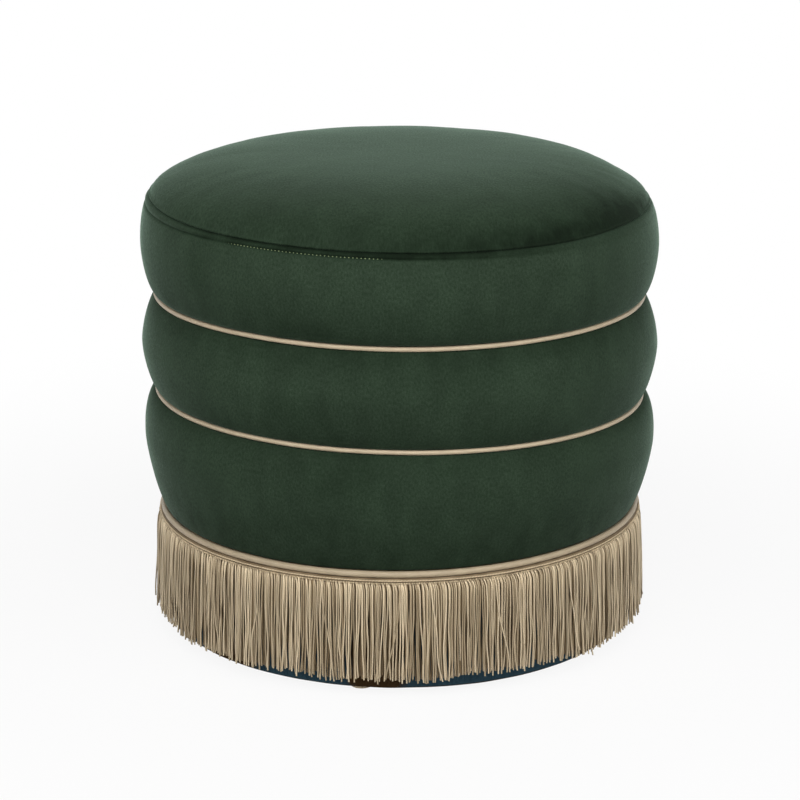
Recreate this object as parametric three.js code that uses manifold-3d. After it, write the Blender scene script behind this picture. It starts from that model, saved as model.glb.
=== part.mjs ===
// A round velvet tuffet with three padded tiers, corded grooves and a fringed skirt.
// Sizes are millimetres, +Z is up, and the origin is on the floor under the middle of the seat.
import * as THREE from "three";
import { mergeVertices } from "three/addons/utils/BufferGeometryUtils.js";
import Module from "manifold-3d";

const wasm = await Module();
wasm.setup();

// Gap left between pieces that touch on the real object
const GAP = 0.3;
// How far a cutter runs past the face it opens
const OVERRUN = 1;
// Flats round each large turned piece, and round each small fastener
const ROUND_SEGMENTS = 36;
const SMALL_SEGMENTS = 6;
const GLIDE_SEGMENTS = 10;

// Floor glides and their nails
const GLIDE_RADIUS = 11;
const GLIDE_INSET = 4;
const GLIDE_CHAMFER = 0.8;
const GLIDE_WEB = 1;
const NAIL_HEAD_RADIUS = 3;
const NAIL_HEAD_THICKNESS = 1;
const NAIL_SHANK_RADIUS = 1.2;
const NAIL_LENGTH = 16;
const NAIL_RECESS = 0.9;

// Cloth under the base and round the plinth
const DUST_CLOTH_THICKNESS = 0.6;
const DUST_CLOTH_MARGIN = 5;
const PLINTH_CLOTH_THICKNESS = 1;
const PLINTH_TURN_UNDER = 12;

// Wooden drum that carries everything
const DRUM_RADIUS = 222;
const DRUM_WALL_THICKNESS = 3;
const BASE_PANEL_THICKNESS = 12;
const SEAT_PANEL_THICKNESS = 12;
const HOOP_THICKNESS = 12;
const HOOP_WIDTH = 66;
const BATTEN_HEIGHT = 13;
const BATTEN_WIDTH = 5.4;
const POST_COUNT = 6;
const POST_SIZE = 40;
const POST_INSET = 9;
// Angle of the first post from +X in degrees, which brings one glide just left of the front
const FIRST_POST_ANGLE = 20.3;

// Countersunk wood screws
const SCREW_LENGTH = 45;
const SCREW_HEAD_RADIUS = 4.5;
const SCREW_HEAD_DEPTH = 3;
const SCREW_SHANK_RADIUS = 2.2;
const SCREW_POINT_LENGTH = 5;

// Heights of the tiers, each from one cord to the next
const SKIRT_HEIGHT = 113.6;
const LOWER_ROLL_HEIGHT = 117.3;
const MIDDLE_ROLL_HEIGHT = 94.3;
const SEAT_BAND_HEIGHT = 86.4;
const CROWN_HEIGHT = 45.7;

// How far each tier, its cord and the seat's seam stand out from the drum
const LOWER_ROLL_DEPTH = 24.6;
const MIDDLE_ROLL_DEPTH = 26.4;
const SEAT_BAND_DEPTH = 25.4;
const MIDDLE_CORD_DEPTH = 12.5;
const UPPER_CORD_DEPTH = 12;
const SEAM_DEPTH = 14.5;

// Roundness of each bulge: 2 is an ellipse, and less is flatter towards its ends
const LOWER_ROUNDNESS = 1.85;
const MIDDLE_ROUNDNESS = 1.5;
const SEAT_ROUNDNESS = 1.75;
const CROWN_SPREAD = 4;
const CROWN_ROUNDNESS = 1.8;

// Velvet, padding and cord
const VELVET_THICKNESS = 1.5;
const CORD_RADIUS = 2.2;
const SKIRT_CORD_RADIUS = 3;
const CORD_SIDES = 6;
const FLANGE_THICKNESS = 1.2;
const SEAT_FLANGE_WIDTH = 24;
const WADDING_CENTRE = 17;
const WADDING_RIM = 3;

// Fringe: a woven heading, and three-sided strands that hang from a backing sewn to it
const HEADING_HEIGHT = 12;
const HEADING_THICKNESS = 3;
const BACKING_HEIGHT = 4.2;
const BACKING_THICKNESS = 4.6;
const STRAND_SIDES = 3;
const STRAND_RADIUS = 2.1;
const STRAND_SPACING = 0.92;
const STRAND_INSET = 1.4;
const STRAND_ROOT = 2;
const STRAND_FLARE = 7.6;
const STRAND_LENGTH = 91;
const STRAND_UNEVENNESS = 2;
const STRAND_UNEVENNESS_TURN = 2.4;

// Shares of half a tier's height at which its outline has a point
const OUTLINE_SHARES = [-1, -0.87, -0.5, 0, 0.5, 0.87, 1];
const PADDING_SHARES = [-1, -0.75, 0, 0.75, 1];
// Shares of the seam's radius at which the crown has a point
const CROWN_SHARES = [1, 0.975, 0.9, 0.75, 0.45, 0];
const PADDING_CROWN_SHARES = [1, 0.9, 0.6, 0];

// Heights and radii that follow from the sizes above
const nailPocketTop = NAIL_RECESS + NAIL_HEAD_THICKNESS + GAP;
const glideHeight = nailPocketTop + GLIDE_WEB;
const dustBottom = glideHeight + GAP;
const plinthBottom = dustBottom + DUST_CLOTH_THICKNESS + GAP;
const baseBottom = plinthBottom + PLINTH_CLOTH_THICKNESS + GAP;
const baseTop = baseBottom + BASE_PANEL_THICKNESS;
const skirtCordZ = plinthBottom + SKIRT_HEIGHT;
const middleCordZ = skirtCordZ + LOWER_ROLL_HEIGHT;
const upperCordZ = middleCordZ + MIDDLE_ROLL_HEIGHT;
const seamZ = upperCordZ + SEAT_BAND_HEIGHT;
const halfFlange = FLANGE_THICKNESS / 2;
const seatPanelTop = upperCordZ - halfFlange - GAP;
const seatPanelBottom = seatPanelTop - SEAT_PANEL_THICKNESS;
const drumInner = DRUM_RADIUS - DRUM_WALL_THICKNESS;
const postCircle = drumInner - POST_INSET - POST_SIZE / 2;
const screwCircle = postCircle - POST_SIZE / 4;
const glideCircle = DRUM_RADIUS - GLIDE_INSET - GLIDE_RADIUS;
const battenTop = skirtCordZ - halfFlange - GAP;
const battenOuter = DRUM_RADIUS + GAP + BATTEN_WIDTH;
const skirtCordR = battenOuter + GAP + SKIRT_CORD_RADIUS;
const middleCordR = DRUM_RADIUS + MIDDLE_CORD_DEPTH;
const upperCordR = DRUM_RADIUS + UPPER_CORD_DEPTH;
const seamR = DRUM_RADIUS + SEAM_DEPTH;
const paddingInset = VELVET_THICKNESS + GAP;
const waddingRimZ = seamZ - paddingInset;
const foamRimZ = waddingRimZ - WADDING_RIM - GAP;
const foamRise = CROWN_HEIGHT - WADDING_CENTRE + WADDING_RIM;
const headingInner = battenOuter + GAP;
const headingOuter = headingInner + HEADING_THICKNESS;
const headingTop = skirtCordZ - SKIRT_CORD_RADIUS - GAP;
const backingInner = headingOuter + GAP;
const strandCircle = backingInner + STRAND_INSET;
const strandWidth = 2 * STRAND_RADIUS * Math.sin(Math.PI / STRAND_SIDES);
const strandCount = Math.floor((2 * Math.PI * strandCircle) / (strandWidth + STRAND_SPACING));

const velvet = new THREE.MeshStandardMaterial({ color: 0x2c4534, roughness: 0.95, metalness: 0 });
const cordCloth = new THREE.MeshStandardMaterial({ color: 0xb8a181, roughness: 0.6, metalness: 0 });
const fringeYarn = new THREE.MeshStandardMaterial({ color: 0xa89674, roughness: 0.7, metalness: 0 });
const plinthCloth = new THREE.MeshStandardMaterial({ color: 0x16344c, roughness: 0.9, metalness: 0 });
const dustCloth = new THREE.MeshStandardMaterial({ color: 0x1b1b1d, roughness: 1, metalness: 0 });
const plywood = new THREE.MeshStandardMaterial({ color: 0xcbaa78, roughness: 0.7, metalness: 0 });
const pine = new THREE.MeshStandardMaterial({ color: 0xd9bd8a, roughness: 0.75, metalness: 0 });
const fibreboard = new THREE.MeshStandardMaterial({ color: 0x8d6e4a, roughness: 0.85, metalness: 0 });
const foam = new THREE.MeshStandardMaterial({ color: 0xe6dcb0, roughness: 1, metalness: 0 });
const wadding = new THREE.MeshStandardMaterial({ color: 0xf1f0ea, roughness: 1, metalness: 0 });
const nylon = new THREE.MeshStandardMaterial({ color: 0x8c7a5f, roughness: 0.45, metalness: 0 });
const steel = new THREE.MeshStandardMaterial({ color: 0xb9bcc0, roughness: 0.35, metalness: 1 });

// A solid turned about Z from [radius, height] points, listed anticlockwise from the lowest one
function turned(points, segments = ROUND_SEGMENTS) {
  const profile = points.map(([radius, height]) => new THREE.Vector2(radius, height));
  return new THREE.LatheGeometry(profile, segments).rotateX(Math.PI / 2);
}

// The same for a profile that stays clear of the axis and closes on itself
function turnedRing(points, segments = ROUND_SEGMENTS) {
  return turned([...points, points[0]], segments);
}

// A ring of rectangular section
function plainRing(inner, outer, bottom, top) {
  const corners = [
    [inner, bottom],
    [outer, bottom],
    [outer, top],
    [inner, top],
  ];
  return turnedRing(corners);
}

// A disc on the axis
function plainDisc(radius, bottom, top) {
  const corners = [
    [0, bottom],
    [radius, bottom],
    [radius, top],
    [0, top],
  ];
  return turned(corners);
}

// A closed mesh as a manifold-3d solid, and back
function toSolid(geometry) {
  const bare = geometry.index ? geometry.toNonIndexed() : geometry.clone();
  bare.deleteAttribute("normal");
  bare.deleteAttribute("uv");
  const merged = mergeVertices(bare);
  const vertProperties = merged.getAttribute("position").array;
  const triVerts = new Uint32Array(merged.index.array);
  return new wasm.Manifold(new wasm.Mesh({ numProp: 3, vertProperties, triVerts }));
}

function toGeometry(solid) {
  const mesh = solid.getMesh();
  const geometry = new THREE.BufferGeometry();
  geometry.setAttribute("position", new THREE.BufferAttribute(mesh.vertProperties, 3));
  geometry.setIndex(new THREE.BufferAttribute(mesh.triVerts, 1));
  const faceted = geometry.toNonIndexed();
  faceted.computeVertexNormals();
  return faceted;
}

function cut(geometry, cutters) {
  const start = toSolid(geometry);
  return toGeometry(cutters.reduce((solid, cutter) => solid.subtract(toSolid(cutter)), start));
}

function piece(name, geometry, material) {
  const mesh = new THREE.Mesh(geometry, material);
  mesh.name = name;
  return mesh;
}

// Angles of the posts, which the screws, nails and glides share
function postAngles() {
  const first = THREE.MathUtils.degToRad(FIRST_POST_ANGLE);
  return Array.from({ length: POST_COUNT }, (_, i) => first + (i * 2 * Math.PI) / POST_COUNT);
}

// Moves a copy of a geometry out along +X and turns it to each post
function atEachPost(geometry, radius) {
  return postAngles().map((angle) => geometry.clone().translate(radius, 0, 0).rotateZ(angle));
}

function placeAt(mesh, radius, angle, height) {
  mesh.position.set(radius * Math.cos(angle), radius * Math.sin(angle), height);
  mesh.rotation.z = angle;
  return mesh;
}

// Profile of a countersunk screw, point down, up to the rim of its head at height 0
function screwProfile(clearance) {
  return [
    [0, -SCREW_LENGTH - clearance],
    [SCREW_SHANK_RADIUS + clearance, SCREW_POINT_LENGTH - SCREW_LENGTH],
    [SCREW_SHANK_RADIUS + clearance, -SCREW_HEAD_DEPTH],
    [SCREW_HEAD_RADIUS + clearance, 0],
  ];
}

function screwShape() {
  return turned([...screwProfile(0), [0, 0]], SMALL_SEGMENTS);
}

// The hole that a screw leaves in the wood round it, opened above the head
function screwHole() {
  const opening = [
    [SCREW_HEAD_RADIUS + GAP, OVERRUN],
    [0, OVERRUN],
  ];
  return turned([...screwProfile(GAP), ...opening], SMALL_SEGMENTS);
}

// A nail, point up, with the underside of its head at height 0
function nailShape() {
  const points = [
    [0, 0],
    [NAIL_HEAD_RADIUS, 0],
    [NAIL_HEAD_RADIUS, NAIL_HEAD_THICKNESS],
    [NAIL_SHANK_RADIUS, NAIL_HEAD_THICKNESS],
    [NAIL_SHANK_RADIUS, NAIL_LENGTH - NAIL_SHANK_RADIUS],
    [0, NAIL_LENGTH],
  ];
  return turned(points, SMALL_SEGMENTS);
}

function nailHole(bottom, top) {
  return new THREE.CylinderGeometry(
    NAIL_SHANK_RADIUS + GAP,
    NAIL_SHANK_RADIUS + GAP,
    top - bottom,
    SMALL_SEGMENTS,
  )
    .rotateX(Math.PI / 2)
    .translate(0, 0, (top + bottom) / 2);
}

// Outline of a padded tier from its lower cord to its upper one, as [radius, height] points
function tierOutline(tier, shares) {
  const middle = (tier.bottom + tier.top) / 2;
  const half = (tier.top - tier.bottom) / 2;
  const crest = tier.crestRadius - (tier.bottomRadius + tier.topRadius) / 2;
  return shares.map((share) => {
    const base = tier.bottomRadius + ((tier.topRadius - tier.bottomRadius) * (share + 1)) / 2;
    const swell = (1 - Math.abs(share) ** tier.roundness) ** (1 / tier.roundness);
    return [base + crest * swell, middle + half * share];
  });
}

function movedIn(points, distance) {
  return points.map(([radius, height]) => [radius - distance, height]);
}

// Outline of the crowned top from the seam to the axis
function crownOutline(radius, rimZ, rise, shares) {
  return shares.map((share) => {
    const lift = (1 - share ** CROWN_SPREAD) ** (1 / CROWN_ROUNDNESS);
    return [radius * share, rimZ + rise * lift];
  });
}

const lowerTier = {
  bottomRadius: skirtCordR,
  topRadius: middleCordR,
  crestRadius: DRUM_RADIUS + LOWER_ROLL_DEPTH,
  bottom: skirtCordZ + SKIRT_CORD_RADIUS + GAP,
  top: middleCordZ - CORD_RADIUS - GAP,
  roundness: LOWER_ROUNDNESS,
};

const middleTier = {
  bottomRadius: middleCordR,
  topRadius: upperCordR,
  crestRadius: DRUM_RADIUS + MIDDLE_ROLL_DEPTH,
  bottom: middleCordZ + CORD_RADIUS + GAP,
  top: upperCordZ - CORD_RADIUS - GAP,
  roundness: MIDDLE_ROUNDNESS,
};

const seatTier = {
  bottomRadius: upperCordR,
  topRadius: seamR,
  crestRadius: DRUM_RADIUS + SEAT_BAND_DEPTH,
  bottom: upperCordZ + CORD_RADIUS + GAP,
  top: seamZ,
  roundness: SEAT_ROUNDNESS,
};

// Frame

function basePanel() {
  const panel = plainDisc(DRUM_RADIUS, 0, BASE_PANEL_THICKNESS);
  const screws = atEachPost(screwHole().rotateX(Math.PI), screwCircle);
  const nails = atEachPost(nailHole(-OVERRUN, BASE_PANEL_THICKNESS + OVERRUN), glideCircle);
  const mesh = piece("base_panel", cut(panel, [...screws, ...nails]), plywood);
  mesh.position.z = baseBottom;
  return mesh;
}

function seatPanel() {
  const panel = plainDisc(DRUM_RADIUS, -SEAT_PANEL_THICKNESS, 0);
  const screws = atEachPost(screwHole(), screwCircle);
  const mesh = piece("seat_panel", cut(panel, screws), plywood);
  mesh.position.z = seatPanelTop;
  return mesh;
}

function drumWall() {
  return piece(
    "drum_wall",
    plainRing(drumInner, DRUM_RADIUS, baseTop + GAP, seatPanelBottom - GAP),
    fibreboard,
  );
}

// Stiffening hoop inside the drum, level with the middle cord, with a hole for each post
function stiffeningHoop() {
  const outer = drumInner - GAP;
  const hoop = plainRing(outer - HOOP_WIDTH, outer, -HOOP_THICKNESS / 2, HOOP_THICKNESS / 2);
  const side = POST_SIZE + 2 * GAP;
  const hole = new THREE.BoxGeometry(side, side, HOOP_THICKNESS + 2 * OVERRUN);
  const mesh = piece("stiffening_hoop", cut(hoop, atEachPost(hole, postCircle)), plywood);
  mesh.position.z = middleCordZ;
  return mesh;
}

function hemBatten() {
  return piece(
    "hem_batten",
    plainRing(DRUM_RADIUS + GAP, battenOuter, battenTop - BATTEN_HEIGHT, battenTop),
    pine,
  );
}

// Posts stand between the two panels, drilled for a screw at each end and the glide's nail
function posts() {
  const bottom = baseTop + GAP;
  const length = seatPanelBottom - GAP - bottom;
  const block = new THREE.BoxGeometry(POST_SIZE, POST_SIZE, length).translate(0, 0, length / 2);
  const screwX = screwCircle - postCircle;
  const topHole = screwHole().translate(screwX, 0, seatPanelTop - bottom);
  const bottomHole = screwHole().rotateX(Math.PI).translate(screwX, 0, baseBottom - bottom);
  const nailTop = Math.max(NAIL_RECESS + NAIL_LENGTH + GAP - bottom, 0);
  const nail = nailHole(-OVERRUN, nailTop).translate(glideCircle - postCircle, 0, 0);
  const drilled = cut(block, [topHole, bottomHole, nail]);
  return postAngles().map((angle, i) =>
    placeAt(piece(`post_${i + 1}`, drilled, pine), postCircle, angle, bottom),
  );
}

function seatScrews() {
  const shape = screwShape();
  return postAngles().map((angle, i) =>
    placeAt(piece(`seat_screw_${i + 1}`, shape, steel), screwCircle, angle, seatPanelTop),
  );
}

function baseScrews() {
  const shape = screwShape().rotateX(Math.PI);
  return postAngles().map((angle, i) =>
    placeAt(piece(`base_screw_${i + 1}`, shape, steel), screwCircle, angle, baseBottom),
  );
}

function glides() {
  const bore = NAIL_SHANK_RADIUS + GAP;
  const pocket = NAIL_HEAD_RADIUS + GAP;
  const points = [
    [pocket, 0],
    [GLIDE_RADIUS - GLIDE_CHAMFER, 0],
    [GLIDE_RADIUS, GLIDE_CHAMFER],
    [GLIDE_RADIUS, glideHeight],
    [bore, glideHeight],
    [bore, nailPocketTop],
    [pocket, nailPocketTop],
  ];
  const shape = turnedRing(points, GLIDE_SEGMENTS);
  return postAngles().map((angle, i) =>
    placeAt(piece(`glide_${i + 1}`, shape, nylon), glideCircle, angle, 0),
  );
}

function glideNails() {
  const shape = nailShape();
  return postAngles().map((angle, i) =>
    placeAt(piece(`glide_nail_${i + 1}`, shape, steel), glideCircle, angle, NAIL_RECESS),
  );
}

// Cloth of the base

function dustCover() {
  const cloth = plainDisc(DRUM_RADIUS - DUST_CLOTH_MARGIN, 0, DUST_CLOTH_THICKNESS);
  const holes = atEachPost(nailHole(-OVERRUN, DUST_CLOTH_THICKNESS + OVERRUN), glideCircle);
  const mesh = piece("dust_cover", cut(cloth, holes), dustCloth);
  mesh.position.z = dustBottom;
  return mesh;
}

// The plinth's cloth goes round the bare foot of the drum and turns in under the base panel
function plinthCover() {
  const inner = DRUM_RADIUS + GAP;
  const outer = inner + PLINTH_CLOTH_THICKNESS;
  const height = battenTop - BATTEN_HEIGHT - GAP - plinthBottom;
  const points = [
    [inner - PLINTH_TURN_UNDER, 0],
    [outer, 0],
    [outer, height],
    [inner, height],
    [inner, PLINTH_CLOTH_THICKNESS],
    [inner - PLINTH_TURN_UNDER, PLINTH_CLOTH_THICKNESS],
  ];
  const mesh = piece("plinth_cover", turnedRing(points), plinthCloth);
  mesh.position.z = plinthBottom;
  return mesh;
}

// Padding

// Padding of one roll, between the drum and the velvet, cut square where it meets the cords
function rollPadding(name, tier, lowerCordRadius, upperCordRadius, bottom, top) {
  const outline = movedIn(tierOutline(tier, PADDING_SHARES), paddingInset);
  const points = [
    [DRUM_RADIUS + GAP, bottom],
    [tier.bottomRadius - lowerCordRadius - GAP, bottom],
    ...outline,
    [tier.topRadius - upperCordRadius - GAP, top],
    [DRUM_RADIUS + GAP, top],
  ];
  return piece(name, turnedRing(points), foam);
}

function lowerPadding() {
  const bottom = skirtCordZ + halfFlange + GAP;
  const top = middleCordZ - halfFlange - GAP;
  return rollPadding("lower_roll_foam", lowerTier, SKIRT_CORD_RADIUS, CORD_RADIUS, bottom, top);
}

function middlePadding() {
  const bottom = middleCordZ + halfFlange + GAP;
  const top = upperCordZ - halfFlange - GAP;
  return rollPadding("middle_roll_foam", middleTier, CORD_RADIUS, CORD_RADIUS, bottom, top);
}

// The seat's foam fills its band and has a lower crown of its own
function seatFoam() {
  const bottom = upperCordZ + halfFlange + GAP;
  const sides = movedIn(tierOutline(seatTier, PADDING_SHARES), paddingInset).slice(0, -1);
  const points = [
    [0, bottom],
    [upperCordR - CORD_RADIUS - GAP, bottom],
    ...sides,
    ...crownOutline(seamR - paddingInset, foamRimZ, foamRise, PADDING_CROWN_SHARES),
  ];
  return piece("seat_foam", turned(points), foam);
}

function seatWadding() {
  const radius = seamR - paddingInset;
  const lower = crownOutline(radius, foamRimZ + GAP, foamRise, PADDING_CROWN_SHARES);
  const upper = crownOutline(radius, waddingRimZ, CROWN_HEIGHT, CROWN_SHARES);
  return piece("seat_wadding", turned([...lower.reverse(), ...upper]), wadding);
}

// Velvet covers

function tierCover(name, tier) {
  const outer = tierOutline(tier, OUTLINE_SHARES);
  const inner = movedIn(tierOutline(tier, PADDING_SHARES), VELVET_THICKNESS).reverse();
  return piece(name, turnedRing([...outer, ...inner]), velvet);
}

function seatTopCover() {
  const rim = seamZ + GAP;
  const outer = crownOutline(seamR, rim, CROWN_HEIGHT - GAP, CROWN_SHARES);
  const lower = seamR - VELVET_THICKNESS;
  const inner = crownOutline(lower, rim - VELVET_THICKNESS, CROWN_HEIGHT - GAP, CROWN_SHARES);
  inner[0] = [lower, rim];
  return piece("seat_top_cover", turned([...inner.reverse(), ...outer]), velvet);
}

// Cords

// A covered cord with the flange that is stapled to the frame behind it
function cordRing(name, radius, height, cordRadius, flangeInner) {
  const half = cordRadius * Math.cos(Math.asin(halfFlange / cordRadius));
  const first = Math.PI + Math.PI / CORD_SIDES;
  const bead = Array.from({ length: CORD_SIDES }, (_, i) => {
    const angle = first + (i * 2 * Math.PI) / CORD_SIDES;
    return [radius + cordRadius * Math.cos(angle), height + cordRadius * Math.sin(angle)];
  });
  const points = [
    [flangeInner, height - halfFlange],
    [radius - half, height - halfFlange],
    ...bead,
    [radius - half, height + halfFlange],
    [flangeInner, height + halfFlange],
  ];
  return piece(name, turnedRing(points), cordCloth);
}

function cords() {
  const drumFace = DRUM_RADIUS + GAP;
  return [
    cordRing("upper_cord", upperCordR, upperCordZ, CORD_RADIUS, upperCordR - SEAT_FLANGE_WIDTH),
    cordRing("middle_cord", middleCordR, middleCordZ, CORD_RADIUS, drumFace),
    cordRing("skirt_cord", skirtCordR, skirtCordZ, SKIRT_CORD_RADIUS, drumFace),
  ];
}

// Fringe

function fringeHeading() {
  return piece(
    "fringe_heading",
    plainRing(headingInner, headingOuter, headingTop - HEADING_HEIGHT, headingTop),
    fringeYarn,
  );
}

// Section of a strand, with an edge facing outwards
function strandSection() {
  const corners = Array.from({ length: STRAND_SIDES }, (_, i) => {
    const angle = (i * 2 * Math.PI) / STRAND_SIDES;
    return new THREE.Vector2(STRAND_RADIUS * Math.cos(angle), STRAND_RADIUS * Math.sin(angle));
  });
  return new THREE.Shape(corners);
}

// One strand, from its root inside the backing down to its cut end, leaning out as it falls
function strand(index, section) {
  const angle = (index * 2 * Math.PI) / strandCount;
  const unevenness = STRAND_UNEVENNESS * Math.sin(index * STRAND_UNEVENNESS_TURN);
  const depth = STRAND_ROOT + STRAND_LENGTH + unevenness;
  const lean = Math.atan2(STRAND_FLARE, STRAND_LENGTH);
  return new THREE.ExtrudeGeometry(section, { depth, bevelEnabled: false })
    .translate(0, 0, STRAND_ROOT - depth)
    .rotateY(-lean)
    .translate(strandCircle, 0, headingTop - BACKING_HEIGHT)
    .rotateZ(angle);
}

function fringeStrands() {
  const outer = backingInner + BACKING_THICKNESS;
  const backing = plainRing(backingInner, outer, headingTop - BACKING_HEIGHT, headingTop);
  const section = strandSection();
  const indexes = Array.from({ length: strandCount }, (_, i) => i);
  const joined = indexes.reduce(
    (solid, i) => solid.add(toSolid(strand(i, section))),
    toSolid(backing),
  );
  return piece("fringe_strands", toGeometry(joined), fringeYarn);
}

const tuffet = new THREE.Group();
tuffet.name = "tuffet";

const frame = new THREE.Group();
frame.add(basePanel(), seatPanel(), drumWall(), stiffeningHoop(), hemBatten(), ...posts());
frame.add(...seatScrews(), ...baseScrews(), ...glides(), ...glideNails());

const upholstery = new THREE.Group();
upholstery.add(dustCover(), plinthCover(), lowerPadding(), middlePadding(), seatFoam());
upholstery.add(seatWadding(), tierCover("lower_roll_cover", lowerTier));
upholstery.add(tierCover("middle_roll_cover", middleTier), tierCover("seat_band_cover", seatTier));
upholstery.add(seatTopCover(), ...cords(), fringeHeading(), fringeStrands());

tuffet.add(frame, upholstery);

export default tuffet;
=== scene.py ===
import math

import bpy
import numpy as np
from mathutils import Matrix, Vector


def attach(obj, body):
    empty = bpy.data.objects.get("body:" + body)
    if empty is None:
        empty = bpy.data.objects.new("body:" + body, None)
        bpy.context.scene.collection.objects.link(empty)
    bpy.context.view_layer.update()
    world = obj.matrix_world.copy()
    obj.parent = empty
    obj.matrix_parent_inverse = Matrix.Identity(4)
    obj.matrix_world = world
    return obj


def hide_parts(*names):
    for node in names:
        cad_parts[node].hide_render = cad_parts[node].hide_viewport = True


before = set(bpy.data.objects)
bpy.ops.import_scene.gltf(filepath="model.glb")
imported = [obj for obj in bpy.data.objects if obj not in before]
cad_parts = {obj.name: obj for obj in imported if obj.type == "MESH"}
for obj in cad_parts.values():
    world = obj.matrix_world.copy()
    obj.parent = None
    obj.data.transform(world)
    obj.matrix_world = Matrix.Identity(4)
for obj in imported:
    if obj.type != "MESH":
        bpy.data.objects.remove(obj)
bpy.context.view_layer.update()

SCENE = bpy.context.scene

# Sizes below are millimetres; meshes are turned to metres as they are made
MM = 0.001

# Drum and plinth
DRUM_RADIUS = 222.0
PLINTH_RADIUS = 223.3
PLINTH_BOTTOM = 4.4
PLINTH_TOP = 103.8
PLINTH_TURN_UNDER = 12.0
DUST_COVER_RADIUS = 217.0
DUST_COVER_BOTTOM = 3.5
DUST_COVER_TOP = 4.1
GLIDE_COUNT = 6
GLIDE_RADIUS = 11.0
GLIDE_HEIGHT = 3.2
GLIDE_CIRCLE = 207.0
FIRST_GLIDE_TURN = math.radians(20.3)
STAPLE_CIRCLE = 213.2

# Cords: radius of the ring, height, radius of the bead, depth of the flange behind it
SKIRT_CORD = (231.0, 118.0, 3.0, 8.7)
MIDDLE_CORD = (234.5, 235.3, 2.2, 12.2)
UPPER_CORD = (234.0, 329.6, 2.2, 24.0)
CORD_STEPS = 720
CLEARANCE = 0.3

# Crests of the tiers and the roundness of their bulges
LOWER_CREST = 246.6
MIDDLE_CREST = 248.4
SEAT_CREST = 247.4
LOWER_ROUNDNESS = 2.1
MIDDLE_ROUNDNESS = 1.5
SEAT_ROUNDNESS = 1.75
# The lower roll's crest lies above its middle, and it tapers in below that, behind its cord
LOWER_SHAPE = {"crest_share": 0.2, "low_roundness": 1.36, "tuck": 1.5}

# Seat's seam, its crown, and the topstitching below it
SEAM_RADIUS = 236.5
SEAM_HEIGHT = 416.0
SEAT_SEAM = (SEAM_RADIUS, SEAM_HEIGHT)
SEAT_BOTTOM = (UPPER_CORD[0], UPPER_CORD[1] + UPPER_CORD[2] + CLEARANCE)
SEAT_INNER_RADIUS = 120.0
CROWN_RISE = 45.7
CROWN_SPREAD = 4.0
CROWN_ROUNDNESS = 1.8
CROWN_CELLS = 48
TOPSTITCH_DROP = 5.0
TOPSTITCH_PITCH = 3.6
# The row wanders down by up to this at a quarter turn from where it lies highest, and follows
# the seat's side out by this share of the drop
TOPSTITCH_WANDER = 3.0
TOPSTITCH_SLOPE = 0.43
HIGH_TURN = math.radians(-102.0)
# Where the topstitched row lies shallow: its middle, and the cosines that stretch runs between
SHALLOW_TURN = math.radians(-28.0)
SHALLOW_SHARES = (0.45, 0.8)
# Where the thread lies on top of the pile, in the same way; elsewhere it sinks in
THREAD_TURN = math.radians(-111.0)
THREAD_SHARES = (0.92, 0.965)

# Fringe
HEADING_INNER = 228.3
HEADING_OUTER = 231.0
HEADING_BOTTOM = 102.7
HEADING_TOP = 114.7
STRAND_TOP = 110.2
STRAND_LENGTH = 92.0
STRAND_POINTS = 15

# Out of level by hand: at each height, how far the covers sit below it at angles from the front
LEVEL_ANGLES = (-85, -57, -36, 0, 42, 60, 85, 105, 130, 180)
OUT_OF_LEVEL = {
    6.0: (0, 0, 0, 0, 0, 0, 0, 0, 0, 0),
    20.0: (-1.5, -1.2, 0, 0, 0.5, 2.0, 3.2, 2.5, 1.0, 0),
    118.0: (0.6, 1.3, 1.0, 0.5, -1.2, -1.5, -1.7, -1.4, -1.0, 0),
    235.3: (0.1, 0.1, 0, 1.6, 5.5, 7.0, 8.4, 6.9, 5.0, 1.5),
    329.6: (1.0, 0.4, -0.2, 1.8, 2.6, 2.9, 3.2, 2.9, 2.5, 1.5),
    416.0: (-8.5, -3.2, -2.0, 1.4, 3.0, 0.6, -0.5, 0.4, 1.5, 1.5),
    440.0: (-0.8, -0.6, -0.7, 0.9, 1.6, 1.6, 4.0, 6.2, 3.4, 1.5),
    461.0: (0.8, 0.8, 0.8, 0.8, 0.8, 0.8, 0.8, 0.8, 0.8, 0.8),
}
# Degrees over which each level's drops are smoothed round the tuffet
LEVEL_SOFTNESS = 12.0

# Padded tiers: columns of points round each, and the angle of the sewn join at the back
COLUMNS = 480
JOIN_TURN = math.pi / 2
CLOTH_RADIUS = 240.0
# Slow lumps in the padding, how far inside its shape a cover starts, and the chance in that
LUMP_SIZE = 0.45
START_INSIDE = 1.5
START_CHANCE = 0.12
# Share of the simulated unevenness that is kept, and the most of it before that share
PUCKER = 0.8
PUCKER_LIMIT = 1.6


# Camera, as the photograph was taken

CAMERA_PLACE = (0.0, -2.375, 0.9055)
CAMERA_DROP = math.radians(16.24)
CAMERA_LENS = 114.12
CAMERA_SHIFT = 0.0005


def photograph_camera():
    data = bpy.data.cameras.new("camera")
    data.sensor_width = 36.0
    data.lens = CAMERA_LENS
    data.shift_x = CAMERA_SHIFT
    camera = bpy.data.objects.new("camera", data)
    camera.location = CAMERA_PLACE
    camera.rotation_euler = (math.pi / 2 - CAMERA_DROP, 0.0, 0.0)
    SCENE.collection.objects.link(camera)
    SCENE.camera = camera


photograph_camera()


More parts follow.
